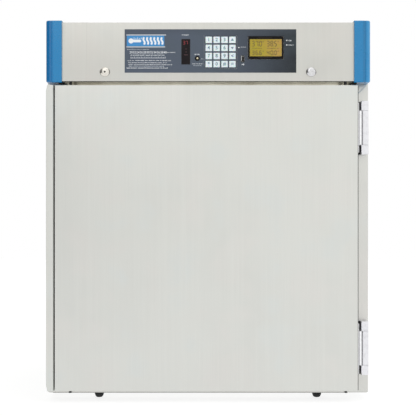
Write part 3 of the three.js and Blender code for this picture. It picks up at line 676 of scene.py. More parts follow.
def segment_digit(bm, character, x, z, width, height, y, stroke, material=0):
    """A digit of seven slim bars about (x, z), facing -Y."""
    w, h = width / 2, height / 2
    middle = {"a": (0, h), "g": (0, 0), "d": (0, -h), "f": (-w, h / 2), "b": (w, h / 2),
              "e": (-w, -h / 2), "c": (w, -h / 2)}
    for name in SEGMENTS[character]:
        a, b = middle[name]
        flat = name in "agd"
        end, tip = ((width if flat else h) - 0.25 * stroke) / 2, stroke / 2
        along = [(-end, 0), (-end + tip, tip), (end - tip, tip), (end, 0), (end - tip, -tip),
                 (-end + tip, -tip)]
        stamp(bm, [(x + a + (p if flat else q), z + b + (q if flat else p)) for p, q in along], y,
              material=material)


def dash(bm, x, z, width, height, y, material=0):
    """A printed bar that faces -Y."""
    w, h = width / 2, height / 2
    stamp(bm, [(x - w, z - h), (x + w, z - h), (x + w, z + h), (x - w, z + h)], y, material=material)


def fine_print(bm, x, z, length, height, y, chance, material=0):
    """A line of marks that suggests small print and spells nothing."""
    stroke = 0.2 * height
    position = x
    while position < x + length - height:
        for _ in range(chance.randint(2, 8)):
            if position > x + length - 0.5 * height:
                break
            tall = chance.choice((0.72, 0.72, 1.0)) * height
            dash(bm, position, z + (tall - height) / 2, stroke, tall, y, material)
            level = chance.choice((-0.42, 0.0, 0.2)) * height
            dash(bm, position + 0.24 * height, z + level, 0.42 * height, stroke, y, material)
            if chance.random() < 0.6:
                dash(bm, position + 0.46 * height, z - 0.14 * height, stroke, 0.72 * height, y, material)
            position += 0.72 * height
        position += 0.55 * height


def ribbon(bm, points, width, y, material=0):
    """A flat printed stroke along a path of (x, z) points, facing -Y."""
    points = [Vector(point) for point in points]
    left, right = [], []
    for i, point in enumerate(points):
        ahead = (points[min(i + 1, len(points) - 1)] - points[max(i - 1, 0)]).normalized()
        side = Vector((-ahead.y, ahead.x)) * width / 2
        left.append(point + side)
        right.append(point - side)
    for i in range(len(points) - 1):
        stamp(bm, [right[i], right[i + 1], left[i + 1], left[i]], y, 0.05, material)


def screw_head(bm, centre, axis, radius, height):
    """A pan head with a cross recess, whose seat is at centre and which stands out along axis."""
    turn = Vector((0, 0, 1)).rotation_difference(Vector(axis)).to_matrix()
    profile = [(1, 0), (1, 0.25), (0.93, 0.6), (0.72, 0.88), (0.46, 1), (0.44, 0.55), (POINT / radius, 0.5)]
    recess = (4, 5)
    sections = []
    for index, (reach, rise) in enumerate(profile):
        ring = []
        for a, b in circle(1, 32):
            cross = abs(a * a - b * b) ** 3 if index in recess else 1
            local = Vector((reach * radius * cross * a, reach * radius * cross * b, rise * height))
            ring.append(Vector(centre) + turn @ local)
        sections.append(ring)
    loft(bm, sections)


# ---- CAD pieces that keep their shape: a finish, and edges that catch the light ----
def dress(node, material, radius=0, segments=2, angle=50):
    """Gives a CAD node its finish, and rounds its folded and cut edges."""
    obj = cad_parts[node]
    obj.data.materials.clear()
    obj.data.materials.append(material)
    if radius:
        weld = obj.modifiers.new("weld", "WELD")
        weld.merge_threshold = 10 * MERGE
        bevel = obj.modifiers.new("edges", "BEVEL")
        bevel.width = radius * MM
        bevel.segments = segments
        bevel.limit_method = "ANGLE"
        bevel.angle_limit = radians(angle)


dress("outer_wrapper", steel_side, FOLD)
dress("top_cover", steel_top, FOLD)
dress("rear_panel", steel_back, 0.4)
dress("control_tray", steel_tray_painted_light, FOLD)
dress("control_overlay", film, 0.15)
dress("insulation_jacket", mineral_wool)
dress("door_insulation", mineral_wool)
dress("rear_baffle", steel_lining, 0.4)
dress("heater_element", heater_sheath)
dress("fan_motor", motor_paint, 2)
dress("fan_wheel", fan_aluminium, 0.4)
dress("shelf_rack_left", steel_lining, 0.4)
dress("shelf_rack_right", steel_lining, 0.4)
dress("temperature_probe", steel_wire, 0.4)
dress("control_board", circuit_green, 0.5)
dress("keypad_housing", film, 0.3)
dress("display_bezel", bezel_plastic, 0.5)
dress("display_pane", backlight, 0.1)
dress("switch_housing", black_plastic, 0.4)
dress("power_inlet", black_plastic, 0.6)
dress("power_rocker", bezel_plastic, 0.35, 3, 30)
dress("upper_hinge_pin", zinc, 0.5)
dress("lower_hinge_pin", zinc, 0.5)


# ---- Door ----
def add_door_skin():
    """The outer pan: its folds are round, and its sheet has its real thickness all the way back. A dark rubber
    strip just beyond its hinge edge is a painted shadow."""
    pan = Box("door_outer_panel")
    low, high = pan.corners
    bend = 1.3
    bm = bmesh.new()
    plate(bm, pan.middle.x, pan.middle.z, pan.size.x, pan.size.z, low.y, high.y, bend, bend, steps=5)
    back = [face for face in bm.faces if all(vertex.co.y > high.y - ON_PLANE for vertex in face.verts)]
    bmesh.ops.delete(bm, geom=back, context="FACES_ONLY")
    thicken(piece("door_skin", bm, [steel_front], "door", ["door_outer_panel"]), SHEET)
    bm = bmesh.new()
    # Painted shadow: a dark strip just beyond the hinge edge, where the door shades the frame.
    block(bm, (high.x + 0.05, low.y + 1.4, low.z + 2), (high.x + 1.25, low.y + 9, high.z - 2), 0.3)
    piece("door_edge_painted_shadow", bm, [plug_rubber], "door")


def add_door_lining():
    """The chamber side of the door, pressed out in its middle, with the screws that hold it."""
    panel, gasket = Box("door_inner_panel"), Box("door_gasket")
    margin, pressed, taper, corner = 41, 5, 16, 26
    screw_x, screw_pitch = 349.5, 160
    flat_y = panel.high.y - pressed
    x, z = gasket.middle.x, gasket.middle.z
    width, height = gasket.size.x - 2 * margin, gasket.size.z - 2 * margin
    rim = rounded_rectangle(panel.size.x, panel.size.z, 2, 6)
    sections = [upright(rim, panel.middle.x, y, panel.middle.z) for y in (flat_y - SHEET, flat_y)]
    for i in range(9):
        share = i / 8
        inset = taper * share
        outline = rounded_rectangle(width - inset, height - inset, corner - inset / 2, 6)
        sections.append(upright(outline, x, flat_y + pressed * share * share * (3 - 2 * share), z))
    bm = bmesh.new()
    loft(bm, sections)
    piece("door_lining", bm, [steel_lining], "door", ["door_inner_panel"], 60)
    bm = bmesh.new()
    for side in (-1, 1):
        for step in range(-2, 3):
            screw_head(bm, (x + side * screw_x, flat_y, z + step * screw_pitch), (0, 1, 0), 3, 1.6)
    piece("door_lining_screws", bm, [zinc], "door")


def add_gasket():
    """A soft profile round the door: a foot, two bellows folds and a lip that meets the front frame."""
    gasket = Box("door_gasket")
    breadth = 14
    width, height = gasket.size.x - 2 * breadth, gasket.size.z - 2 * breadth
    profile = [(0, 0), (0, 0.22), (1.6, 0.34), (0.8, 0.46), (1.2, 0.6), (0.6, 0.78), (2.2, 0.95), (5, 1),
               (9, 1), (12.4, 0.94), (13.6, 0.78), (12.6, 0.6), (13.3, 0.46), (12.2, 0.34), (breadth, 0.2),
               (breadth, 0)]
    loops = []
    for outward, share in profile:
        outline = rounded_rectangle(width + 2 * outward, height + 2 * outward, 4 + outward)
        y = gasket.low.y + share * gasket.size.y
        loops.append(upright(outline, gasket.middle.x, y, gasket.middle.z))
    bm = bmesh.new()
    loft(bm, [*loops, loops[0]], (False, False))
    piece("gasket_profile", bm, [gasket_rubber], "door", ["door_gasket"], 50)


def add_pull():
    """The full-height pull: sheet folded to a channel that opens to the side, with its corners cut back."""
    low, high = Box("door_pull").corners
    web = low.x + 15.8  # the channel's closed side
    thickness, cut_back = 2, 3
    bm = bmesh.new()
    corners = [(low.x, high.y), (web, high.y), (web, low.y), (low.x, low.y)]
    folded_sheet(bm, corners, (3, 3), thickness, (low.z, high.z), "z")
    for z, up in ((low.z, -1), (high.z, 1)):
        slant = Vector((-14, 0, up * cut_back)).normalized()
        cut = bisect(bm, (low.x + cut_back, 0, z), slant, clear_outer=True)
        rim = [item for item in cut["geom_cut"] if isinstance(item, bmesh.types.BMEdge)]
        bmesh.ops.holes_fill(bm, edges=rim, sides=0)
    block(bm, (web - thickness / 2, high.y - thickness, low.z + 1), (high.x, high.y, high.z - 1), 0.3)
    piece("pull_channel", bm, [steel_front], "door", ["door_pull"])


# ---- Hinges ----
KNUCKLE = 22.4
HINGE_SCREW = 51  # above and below the hinge's middle


def knuckle_outline(pin, radius, back):
    """A knuckle's section: round in front, square behind, as (x, y) points."""
    corner = 1.8
    reach = radius - corner
    points = [(pin.x - radius, back)]
    for i in range(11):
        angle = pi + i / 10 * pi
        side = 1 if cos(angle) > 0 else -1
        points.append((pin.x + reach * side + corner * cos(angle),
                       pin.y - reach + corner * sin(angle)))
    return [*points, (pin.x + radius, back)]


def add_hinge(level):
    """A surface hinge: the cabinet's leaf has the two end knuckles, the door's the long middle one."""
    frame_node, door_node = f"{level}_hinge_frame_leaf", f"{level}_hinge_door_leaf"
    leaf, plate_box = Box(frame_node), Box(door_node)
    low, high, door_low, door_high = leaf.low, leaf.high, plate_box.low, plate_box.high
    pin = Box(f"{level}_hinge_pin").middle
    radius = high.x - pin.x
    edge = 0.5

    bm = bmesh.new()
    block(bm, (low.x, high.y - 3, low.z), (high.x, high.y, high.z), 0.8)
    outline = [Vector(point) for point in knuckle_outline(pin, radius, high.y - 1)]
    centre = Vector((pin.x, pin.y + 4))
    for start in (low.z, high.z - KNUCKLE):
        ends = ((start, edge), (start + edge, 0), (start + KNUCKLE - edge, 0), (start + KNUCKLE, edge))
        loft(bm, [[(*(point + (centre - point).normalized() * inset), z) for point in outline]
                  for z, inset in ends])
        # Painted shade: black blocks behind the gaps between the knuckles and the door plate darken the slots.
        block(bm, (door_low.x + 5.4, pin.y + 6, start + edge),
              (pin.x - radius - 0.2, pin.y + 12, start + KNUCKLE - edge), 0.4, material=1)
    for z in (pin.z - HINGE_SCREW, pin.z + HINGE_SCREW):
        turned(bm, [(4.4, 0), (4.4, -0.15), (3, -0.35), (0, -0.4)], (pin.x, low.y, z), steps=32)
    piece(f"{level}_hinge_cabinet_leaf", bm, [bright_hinge, plug_rubber], "cabinet", [frame_node])

    bottom, top = low.z + KNUCKLE + 0.3, high.z - KNUCKLE - 0.3
    face_x = pin.x - radius + 3.4
    bm = bmesh.new()
    barrel = [(face_x, pin.y + 6), (face_x, pin.y - radius), (pin.x + radius, pin.y - radius),
              (pin.x + radius, pin.y + radius * 0.8)]
    prism(bm, rounded_path(barrel, (1.2, 1.2), 6), bottom, top)
    piece(f"{level}_hinge_barrel", bm, [bright_hinge], "door", [door_node])

    # The door plate and its rolled edge are a brighter metal than the barrel: painted highlight.
    bm = bmesh.new()
    block(bm, door_low, (door_low.x + 3, door_high.y, door_high.z), 0.8)
    left, right, front = face_x - 7.3, face_x - 2.3, pin.y - radius + 0.8
    rolled = [(left, pin.y - 2), (left, front), (right, front), (right, pin.y - 2)]
    prism(bm, rounded_path(rolled, (0.9, 0.9), 6), bottom, top)
    piece(f"{level}_hinge_door_plate", bm, [hinge_painted_highlight], "door", [door_node])

    # The web between plate and barrel is a darker metal: painted shade in the slot.
    bm = bmesh.new()
    block(bm, (door_low.x + 2, pin.y - 5, bottom), (face_x + 0.5, pin.y + 2, top), 0.3)
    piece(f"{level}_hinge_web", bm, [hinge_painted_shade], "door", [door_node])


# ---- Header ----
def add_fascia():
    """The header's steel front, with its folds rounded."""
    low, high = Box("header_fascia").corners
    bm = bmesh.new()
    corners = [(high.y, high.z), (low.y, high.z), (low.y, low.z), (high.y, low.z)]
    folded_sheet(bm, corners, (0.6, 1.2), SHEET, (low.x, high.x), "x")
    piece("fascia_sheet", bm, [steel_header], "cabinet", ["header_fascia"])


def add_corner_cap(side, name, plastic, outer, inner, flute):
    """A moulded cap: hollow, fluted beside its round upright corner, with a pale closing plate below."""
    low, high = Box(f"corner_cap_{name}").corners
    profile = [(17.4, 0), (16.6, 0), (15.8, 0.1), (15.0, 0.42), (14.2, 1.0), (13.4, 1.5), (12.6, 1.7),
               (11.9, 1.5), (11.3, 1.15), (10.6, 0.95)]
    profile = [(across, depth * flute) for across, depth in profile]
    corner = 10.2
    profile += [(across, 0.9 * flute + depth) for depth, across in quarter_round(corner, 14, 1)]

    def outline(inset, z):
        points = [(inner, low.y + inset), (inner + side * 0.4, low.y + inset)]
        for across, depth in profile:
            shrink = inset * (1 - across / 22)
            points.append((outer - side * max(across, shrink), low.y + depth + inset))
        points += [(outer - side * inset, high.y), (inner, high.y)]
        return [(a, b, z) for a, b in points]
    soft = quarter_round(3.8, 5)
    sections = [outline(inset, low.z + rise) for rise, inset in soft]
    sections += [outline(inset, high.z - drop) for inset, drop in soft]
    bm = bmesh.new()
    loft(bm, sections)
    open_sides = [face for face in bm.faces
                  if all(abs(vertex.co.x - inner) < ON_PLANE for vertex in face.verts)
                  or all(abs(vertex.co.y - high.y) < ON_PLANE for vertex in face.verts)]
    bmesh.ops.delete(bm, geom=open_sides, context="FACES_ONLY")
    thicken(piece(f"cap_{name}", bm, [plastic], "cabinet", [f"corner_cap_{name}"], 30), 3)
    bm = bmesh.new()
    start, end = sorted((inner, outer - side * 3.9))
    block(bm, (start, low.y + 5.6, low.z + 0.05), (end, high.y - 0.1, low.z + 2), 0.4)
    piece(f"cap_{name}_underside", bm, [pale_plastic], "cabinet")


def add_nameplate(overlay):
    """A blue plate between two white rules, with a thermometer and rising warmth in place of a name."""
    x, y, z = overlay.low.x + 49, overlay.low.y, overlay.high.z - 27.5
    bm = bmesh.new()
    plate(bm, x, z, 88, 24.6, y - 0.35, y, 0.5, 0.12)
    for shift, rise, length in ((1.4, 14, 93), (0.6, -14, 91)):
        plate(bm, x + shift, z + rise, length, 1.5, y - 0.12, y, 0.3, 0.04, material=1)
    face = y - 0.4
    plate(bm, x - 24.5, z, 29, 6.4, face, face + 0.05, 3.1, 0.01, material=1, steps=1)
    turned(bm, [(6, 0.05), (6, 0), (0, 0)], (x - 34, face - 0.01, z), steps=32, material=1)
    for i in range(5):
        rise, tall = (5.4, 2.2) if i % 2 else (6.1, 3.6)
        dash(bm, x + i * 4.2 - 27, z + rise, 1.3, tall, face, 1)
    for i in range(6):
        wave = [(x - 3.5 + i * 8.4 + 1.6 * sin(pi * step / 8), z + (step - 8) * 1.05)
                for step in range(17)]
        ribbon(bm, wave, 4.3, face, 1)
    piece("nameplate", bm, [blue_print, white_ink], "cabinet")


def add_printing(overlay):
    """The overlay's print: lines of marks too small to read, a temperature scale, and switch symbols."""
    low, high = overlay.corners
    y = low.y - 0.05
    left = low.x + 3
    button, keypad = Box("alarm_button").middle, Box("keypad_housing")
    rocker, bezel = Box("switch_housing"), Box("display_bezel")
    chance = random.Random(11)
    bm = bmesh.new()

    def marks(*lines):
        for x, z, length, height, material in lines:
            fine_print(bm, x, z, length, height, y, chance, material)
    marks((left + 3, high.z - 47.2, 52, 1.9, 1), (left + 11, high.z - 60.6, 82, 2.9, 0),
          (left + 4, high.z - 73.2, 102, 2.6, 0), (left + 6, high.z - 78.4, 91, 2.4, 0),
          (left + 6, high.z - 83, 104, 2.3, 0), (left + 7, high.z - 86.8, 84, 2, 1),
          (left + 2, high.z - 90.8, 98, 2.7, 0))
    for i in range(11):
        lettering(bm, str(20 + 2 * i), 7.4, left + 12 + i * 8, high.z - 54.4, y, 0.04)
    marks((left + 96, high.z - 54.2, 22, 2.2, 0))
    scale_z = high.z - 67.6
    dash(bm, left + 52, scale_z, 84, 0.9, y, 1)
    for i in range(21):
        tall = 2.2 if i % 2 else 3.6
        dash(bm, left + 12 + i * 4, scale_z + tall / 2, 0.8, tall, y)
    marks((low.x + 134.8, high.z - 13.2, 19.5, 2.9, 0),
          (button.x - 6, button.z + 9.6, 13, 2.9, 0), (button.x - 12, button.z - 12.6, 25, 2.1, 0),
          (button.x - 9, button.z - 17, 19, 1.9, 1), (keypad.low.x - 6.4, button.z - 1, 5, 2, 0),
          (keypad.high.x + 9.6, high.z - 41.8, 14, 2.4, 0))
    x, z = rocker.middle.x, rocker.low.z - 5.6
    dash(bm, x - 1.6, z, 1, 3, y)
    turned(bm, [(1.8, 0), (1.8, -0.05), (0.8, -0.05), (0.8, 0)], (x + 1.7, low.y, z), steps=20, hollow=True)
    marks((bezel.high.x + 12, bezel.high.z - 9.6, 8, 3.2, 0),
          (bezel.high.x + 12, bezel.high.z - 20.2, 13, 2.3, 0))
    piece("overlay_print", bm, [white_ink, pale_ink], "cabinet")


def add_indicators(overlay):
    """Small clear lenses set in the overlay."""
    keypad, bezel = Box("keypad_housing").high, Box("display_bezel").high
    bm = bmesh.new()
    for x, z in ((keypad.x + 4.4, overlay.high.z - 43), (bezel.x + 7.6, bezel.z - 9.6),
                 (bezel.x + 7.6, bezel.z - 20.2)):
        centre = (x, overlay.low.y, z)
        turned(bm, [(2.4, 0), (2.4, -0.25), (2, -0.4), (1.9, -0.2), (0, -0.2)], centre, steps=32,
               material=1)
        turned(bm, [(1.7, 0), (1.7, -0.5), (1.45, -1), (0.9, -1.35), (0, -1.5)], centre, steps=32)
    piece("indicator_lamps", bm, [lamp_clear, black_plastic], "cabinet")


def add_readout(overlay):
    """The dark red window, with two lit digits above three unlit marks that carry a faint painted glow."""
    x, y, z = overlay.low.x + 143.4, overlay.low.y, overlay.high.z - 52.8
    width, height = 19.4, 58.4
    bm = bmesh.new()
    plate(bm, x, z, width + 1.6, height + 1.6, y - 0.25, y, 0.8, 0.15, material=1)
    plate(bm, x, z, width, height, y - 0.5, y, 0.5, 0.15)
    face = y - 0.55
    for shift, character in ((-4.1, "3"), (2.1, "7")):
        segment_digit(bm, character, x + shift, z + 21, 3.9, 7.6, face, 1.1, 2)
    for rise, length in ((6.4, 3.4), (-0.6, 3.4), (-7.4, 9)):
        plate(bm, x + 0.6, z + rise, length, 1.7, face, face + PRINT, 0.4, 0.01, material=3, steps=1)
    piece("readout_window", bm, [dark_window, black_plastic, red_segments, dim_segments_painted_glow], "cabinet")


def add_display_details():
    """The display's figures, and the bright lugs of its metal frame."""
    pane, bezel = Box("display_pane"), Box("display_bezel")
    face = pane.low.y - 0.04
    middle = pane.middle.x
    bm = bmesh.new()
    for depth, height, left, right in ((10.6, 11.5, "370", "385"), (32, 9, "366", "400")):
        for start, text in ((pane.low.x + 8, left), (middle + 5.5, right)):
            for i, character in enumerate(text):
                segment_digit(bm, character, start + i * 8.6, pane.high.z - depth, 5, height, face, 1.9)
            plate(bm, start + 12.9, pane.high.z - depth - height / 2, 1.4, 1.4, face, face + PRINT, 0.3,
                  0.01, steps=1)
            turned(bm, [(1.5, 0), (1.5, PRINT), (0.8, PRINT), (0.8, 0)],
                   (start + 23.5, face, pane.high.z - depth + height / 2 - 0.8), steps=16, hollow=True)
    chance = random.Random(5)
    for start in (pane.low.x + 6, middle + 4):
        fine_print(bm, start, pane.high.z - 21.4, 27, 2.6, face, chance)
    piece("display_figures", bm, [crystal], "cabinet")

    low, high = bezel.corners
    bm = bmesh.new()
    for z in (high.z - 3.9, low.z + 3.6):
        plate(bm, middle - 1.6, z, 33, 1.5, low.y - 0.15, low.y + 0.4, 0.4, 0.12)
    for x in (low.x + 1.9, high.x - 1.9):
        for z in (high.z - 1.9, low.z + 1.9):
            turned(bm, [(1.1, 0.3), (1.1, -0.1), (0.8, -0.2), (0, -0.22)], (x, low.y, z), steps=20)
    piece("display_lugs", bm, [nickel_dark], "cabinet")


KEY_LEGENDS = {"key_star": "*", "key_hash": "#", "key_clear": "<", "key_enter": "="}
KEY_COLLAR = 1.2  # of the CAD key, which stays in its housing


def add_key(node):
    """A key with soft edges and a dished face, printed with its legend."""
    key = Box(node)
    x, z, front = key.middle.x, key.middle.z, key.low.y
    width, height = key.size.x - 2 * KEY_COLLAR, key.size.z - 2 * KEY_COLLAR
    corner, edge, dish = 1.1, 0.7, 0.22

    def section(inset, y):
        radius = max(corner - inset * 0.6, 0.2)
        return upright(rounded_rectangle(width - 2 * inset, height - 2 * inset, radius), x, y, z)
    sections = [section(0, key.high.y)]
    sections += [section(inset, front + drop) for inset, drop in quarter_round(edge, 4)]
    for angle in quarter_turn(4, 1):
        inset = edge + angle / (pi / 2) * (width / 2 - edge - 0.6)
        sections.append(section(inset, front + dish * sin(angle)))
    bm = bmesh.new()
    loft(bm, sections)
    legend_y = front + dish - 0.16
    if node in ("key_up", "key_down"):
        way = 1 if node == "key_up" else -1
        stamp(bm, [(x - 3.6, z - 2.2 * way), (x + 3.6, z - 2.2 * way), (x, z + 3.4 * way)], legend_y,
              material=1)
    else:
        lettering(bm, KEY_LEGENDS.get(node, node[-1]), 11.5, x, z, legend_y, 0.18, 1)
    piece(f"{node}_cap", bm, [key_plastic, key_ink], node, [node])


def add_push_button():
    """The round push button in its threaded bezel."""
    button = Box("alarm_button")
    front = button.middle.copy()
    front.y = button.low.y
    seat = button.middle.copy()
    seat.y = Box("control_overlay").low.y
    bm = bmesh.new()
    turned(bm, [(5.9, 0), (5.9, -0.4), (5.7, -0.6), (5.45, -0.6), (5.45, 0)], seat, hollow=True)
    turned(bm, [(5.4, 0), (5.4, -0.9), (4.9, -1.4), (3.9, -1.5), (3.5, -1.2), (3.3, 0)], seat, material=1,
           hollow=True)
    piece("button_bezel", bm, [black_plastic, bezel_plastic], "cabinet")
    bm = bmesh.new()
    turned(bm, [(3, button.size.y), (3, 1), (2.8, 0.6), (2.4, 0.45)], front, material=1)
    turned(bm, [(2.1, 0.7), (2.1, 0.4), (1.8, 0.12), (1.2, 0)], front)
    piece("button_cap", bm, [button_gold, black_plastic], "alarm_button", ["alarm_button"])


def add_fastener(name, metal, socket_depth, socket_material):
    """A domed quarter-turn fastener with a hexagonal socket, on a blackened oval washer whose sides show as
    painted shadow crescents.
    """
    node = f"fascia_fastener_{name}"
    head = Box(node)
    front, back = head.low.y, head.high.y
    shank, mouth, socket, radius = 3.8, 2.6, 2.3, head.size.x / 2
    seat = back - 14
    rim = seat - 0.8

    def ring(outline, y):
        return upright(outline, head.middle.x, y, head.middle.z)
    sections = [ring(circle(shank), back), ring(circle(shank), seat), ring(circle(radius), seat),
                ring(circle(radius), rim)]
    for angle in quarter_turn(14, 1):
        reach = mouth + (radius - mouth) * cos(angle)
        sections.append(ring(circle(reach), rim - (rim - front) * sin(angle)))
    bm = bmesh.new()
    loft(bm, sections, (True, False))
    edge = ring(hexagon(socket), front + 0.15)
    loft(bm, [ring(circle(mouth), front), edge], (False, False))
    # Where the socket takes the blackened metal, its inside is painted shade.
    loft(bm, [edge, ring(hexagon(socket), front + socket_depth)], (False, True), socket_material)
    # Painted shadow: an oval washer, wider than the dome, shows as dark crescents at its left and right.
    painted_shadow_washer = [(1.09 * a, 0.93 * b) for a, b in circle(radius)]
    loft(bm, [ring(painted_shadow_washer, seat + 0.6), ring(painted_shadow_washer, seat - 0.15)], material=1)
    piece(f"fastener_{name}", bm, [metal, nickel_dark], f"fastener_{name}", [node], 35)


def add_switch_guard():
    """The light guard strip beside the rocker."""
    low, high = Box("switch_housing").corners
    bm = bmesh.new()
    block(bm, (low.x + 0.2, low.y - 1.5, low.z + 2.6), (low.x + 2.1, low.y + 0.3, high.z - 0.8), 0.5, 3)
    piece("switch_guard", bm, [grey_plastic], "cabinet")


def add_header_plugs():
    """Black plugs in the spare door-hinge holes, and dark blocks under the caps' inner ends that are painted
    shadow.
    """
    fascia = Box("header_fascia").low
    cap = Box("corner_cap_right").low
    room = fascia.z - Box("door_outer_panel").high.z
    hole_x = 323
    bm = bmesh.new()
    for side in (-1, 1):
        turned(bm, [(3.5, -0.1), (3.5, -0.75 * room), (2.9, -0.86 * room), (0, -0.86 * room)],
               (side * hole_x, fascia.y + 5.6, fascia.z), "z", 24)
        # Painted shadow: dark blocks under each cap's inner end, where the gap is in shade.
        start, end = sorted((side * (cap.x + 8), side * (cap.x - 1.5)))
        block(bm, (start, fascia.y + 8, cap.z - 3.2), (end, fascia.y + 22, cap.z + 3), 0.8)
    piece("header_plugs", bm, [plug_rubber], "cabinet")


# ---- Feet, base, back and chamber ----
RAIL_END = 344  # either side of the middle


def add_liner():
    """The front frame and the chamber in one skin: folded round the cabinet's corners, then back into the
    opening, with coved corners inside."""
    liner, gasket = Box("chamber_liner"), Box("door_gasket")
    front, back = liner.low.y, liner.high.y - SHEET
    opening = Box("shelf_rack_right").high.x - Box("shelf_rack_left").low.x + 0.6
    room = gasket.size.z - 32
    fold, lip, cove = 1.1, 3, 14  # radii

    def outer(inset, y):
        outline = rounded_rectangle(liner.size.x - 2 * inset, liner.size.z - inset, 0.8, 7)
        return upright(outline, liner.middle.x, y, liner.middle.z + inset / 2)

    def inner(grow, y):
        outline = rounded_rectangle(opening + 2 * grow, room + 2 * grow, cove + grow, 7)
        return upright(outline, liner.middle.x, y, gasket.middle.z)
    frame_face = [outer(inset, front + drop) for inset, drop in quarter_round(fold, 6)]
    frame_face += [inner(grow, front + drop) for drop, grow in quarter_round(lip, 6)]
    chamber = [inner(0, front + lip)]
    chamber += [inner(-0.98 * inset, back - drop) for inset, drop in quarter_round(cove, 6)]
    bm = bmesh.new()
    loft(bm, frame_face, (False, False))
    loft(bm, chamber, (False, True), 1)
    for end in (-RAIL_END, RAIL_END):
        bisect(bm, (end, 0, 0), (1, 0, 0))
    for face in bm.faces:
        centre = face.calc_center_median()
        if centre.z > gasket.high.z - 14 and centre.y < front + lip and abs(centre.x) < RAIL_END:
            face.material_index = 2
    skin = piece("front_frame_and_chamber", bm, [steel_frame, steel_lining, steel_rail], "cabinet",
                 ["chamber_liner"], 35)
    thicken(skin, 1.4)


def add_foot(node):
    """A tapered rubber bumper with a moulded ring, and the screw that holds it."""
    foot = Box(node)
    top = foot.size.z
    centre = (foot.middle.x, foot.middle.y, foot.low.z)
    bm = bmesh.new()
    turned(bm, [(3.2, 2.2), (3.3, 0.4), (3.8, 0), (5.2, 0), (6.6, 0.5), (8.1, 1.8), (9.3, 3.6), (10.2, 5.8),
                (10.9, 8.4), (11.3, 10.8), (10.9, 11.4), (11.4, 12.2), (11.4, top - 1), (11, top)],
           centre, "z", 40)
    turned(bm, [(3, 1.4), (3, 2.3)], centre, "z", 24, 1)
    piece(f"{node}_bumper", bm, [foot_rubber, zinc], "cabinet", [node], 30)


def add_base_plugs():
    """Plugs at the base's front edge, where the door can be hung on the other side, the base's lip, and a dark
    strip under it that is painted shadow.
    """
    low, high = Box("outer_wrapper").corners
    tip = 1e-5  # small enough to merge to a point
    hole_x, shadow_strip_end = 330, 335
    bm = bmesh.new()
    for side in (-1, 1):
        turned(bm, [(tip, 2.4), (2.2, 2.2), (3.2, 1.2), (3.4, -0.6), (2.8, -1.3), (tip, -1.5)],
               (side * hole_x, low.y - 2.4, low.z), "z", 24)
    block(bm, (low.x + 3, low.y + 1, low.z - 1.3), (high.x - 3, low.y + 12, low.z), 0.3, material=1)
    # Painted shadow: a thin dark strip under the base's front edge.
    block(bm, (low.x + 12, low.y + 1.4, low.z - 1.95), (shadow_strip_end, low.y + 10, low.z - 1.25), 0.2)
    piece("base_plugs", bm, [plug_rubber, steel_frame], "cabinet")


def add_back():
    """What the back carries: louvre hoods, panel screws, a blank data plate, the inlet's pins and its fuse
    drawer."""
    panel, inlet = Box("rear_panel"), Box("power_inlet")
    back = panel.high.y
    bm = bmesh.new()
    hood = [(-0.3, 5.2), (0.8, 3.4), (1.6, 0.6), (1.6, -1.6), (1.1, -1.6), (0.96, 0.6), (-0.2, 3.4)]
    lowest, pitch, count = 773, 14, 8
    for x in (-190, 190):
        for z in range(lowest, lowest + count * pitch, pitch):
            loft(bm, [[(x + end, back + a, z + b) for a, b in hood] for end in (-76, -73, 73, 76)])
    piece("louvre_hoods", bm, [steel_back], "cabinet")

    bm = bmesh.new()
    edge_x, pitch_z, pitch_x = 368, 205, 300
    sides = [(side * edge_x, panel.middle.z + step * pitch_z) for side in (-1, 1) for step in range(-2, 3)]
    ends = [(step * pitch_x, z) for step in range(-1, 2) for z in (panel.low.z + 10, panel.high.z - 8)]
    for x, z in sides + ends:
        screw_head(bm, (x, back, z), (0, 1, 0), 4.2, 1.9)
    piece("panel_screws", bm, [zinc], "cabinet")

    x, z = 250, 720
    width, height = 90, 55
    bm = bmesh.new()
    stamp(bm, [(x + a, z + b) for a, b in rounded_rectangle(width, height, 3)], back, 0.5)
    for step in range(-2, 3):
        rule = rounded_rectangle(74, 0.5, 0.2)
        stamp(bm, [(x + a, z + step * 9 + b) for a, b in rule], back, 0.56, 1)
    piece("data_plate", bm, [fan_aluminium, black_plastic], "cabinet")

    x, z = inlet.middle.x, inlet.middle.z + 8
    bm = bmesh.new()
    for dx, dz in ((-7, -2), (0, 3), (7, -2)):
        block(bm, (x + dx - 1, back - 16.5, z + dz - 2), (x + dx + 1, back - 3, z + dz + 2), 0.4)
    piece("inlet_pins", bm, [brass], "cabinet")
    bm = bmesh.new()
    block(bm, (x - 10, inlet.high.y - 0.6, z - 27), (x + 10, inlet.high.y - 0.05, z - 13), 0.2)
    piece("fuse_drawer", bm, [grey_plastic], "cabinet")


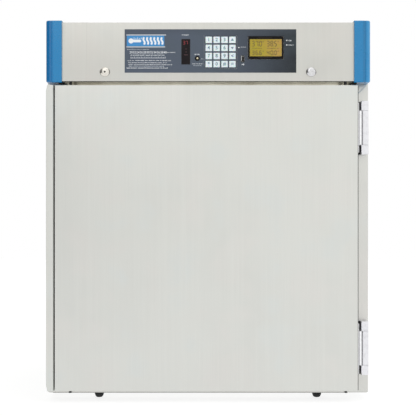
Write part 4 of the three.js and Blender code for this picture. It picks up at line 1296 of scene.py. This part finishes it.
def add_shelf(node):
    """A wire shelf: a round rim rod, close-set round wires, and two cross rods under them."""
    shelf = Box(node)
    low, high = shelf.corners
    rim, wire, bays = 3, 1.9, 31
    outline = rounded_rectangle(shelf.size.x - 2 * rim, shelf.size.y - 2 * rim, 14)
    half = len(outline) // 2
    bm = bmesh.new()
    x, y, z = shelf.middle
    tube(bm, [(x + a, y + b, z) for a, b in outline[half:] + outline[:half]], rim, 14, closed=True)
    z = shelf.middle.z + rim - wire
    for i in range(1, bays):
        x = low.x + rim + i / bays * (shelf.size.x - 2 * rim)
        tube(bm, [(x, low.y + 1.2 * rim, z), (x, high.y - 1.2 * rim, z)], wire, 10)
    z = shelf.middle.z - rim + wire
    for share in (0.3, 0.7):
        y = low.y + share * shelf.size.y
        tube(bm, [(low.x + rim, y, z), (high.x - rim, y, z)], wire, 10)
    piece(f"{node}_wires", bm, [steel_wire], "cabinet", [node], 50)


def add_chamber_details():
    """Rivets that hold the racks, and screws in the baffle."""
    bm = bmesh.new()
    wall = Box("shelf_rack_right").high.x - 2  # the rack's plate
    for side in (-1, 1):
        for y in (-200, 130):
            for z in (112, 648):
                screw_head(bm, (side * wall, y, z), (-side, 0, 0), 4, 2)
    baffle = Box("rear_baffle")
    for x in (-285, 285):
        for z in (baffle.low.z + 16, baffle.middle.z, baffle.high.z - 16):
            screw_head(bm, (x, baffle.low.y, z), (0, -1, 0), 4, 2)
    piece("chamber_screws", bm, [zinc], "cabinet")


add_camera()
add_world()
add_floor()
add_softbox("key_light", (-0.9, -2.9, 2.4), (0, -0.3, 0.5), size=1.8, power=5)
add_softbox("fill_light", (2.4, -1.2, 1.2), (0, -0.2, 0.45), size=1.4, power=4)
add_softbox("top_light", (0.2, -0.2, 2.9), (0, 0, 0), size=2.4, power=12)
bpy.context.scene.view_settings.view_transform = "Standard"

add_door_skin()
add_door_lining()
add_gasket()
add_pull()
add_hinge("upper")
add_hinge("lower")
add_fascia()
left_cap, right_cap = Box("corner_cap_left"), Box("corner_cap_right")
add_corner_cap(-1, "left", blue_painted_shade_left, left_cap.low.x + 1, left_cap.high.x, 0.4)
add_corner_cap(1, "right", blue_painted_light_and_shade_right, right_cap.high.x, right_cap.low.x, 1)
control_overlay = Box("control_overlay")
add_nameplate(control_overlay)
add_printing(control_overlay)
add_indicators(control_overlay)
add_readout(control_overlay)
add_display_details()
for key in [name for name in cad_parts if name.startswith("key_")]:
    add_key(key)
add_push_button()
add_fastener("left", chrome_warm, 3.2, 1)
add_fastener("right", chrome, 0.5, 0)
add_switch_guard()
add_header_plugs()
for foot in [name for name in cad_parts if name.startswith("foot_")]:
    add_foot(foot)
add_base_plugs()
add_liner()
add_back()
add_shelf("shelf_lower")
add_shelf("shelf_upper")
add_chamber_details()
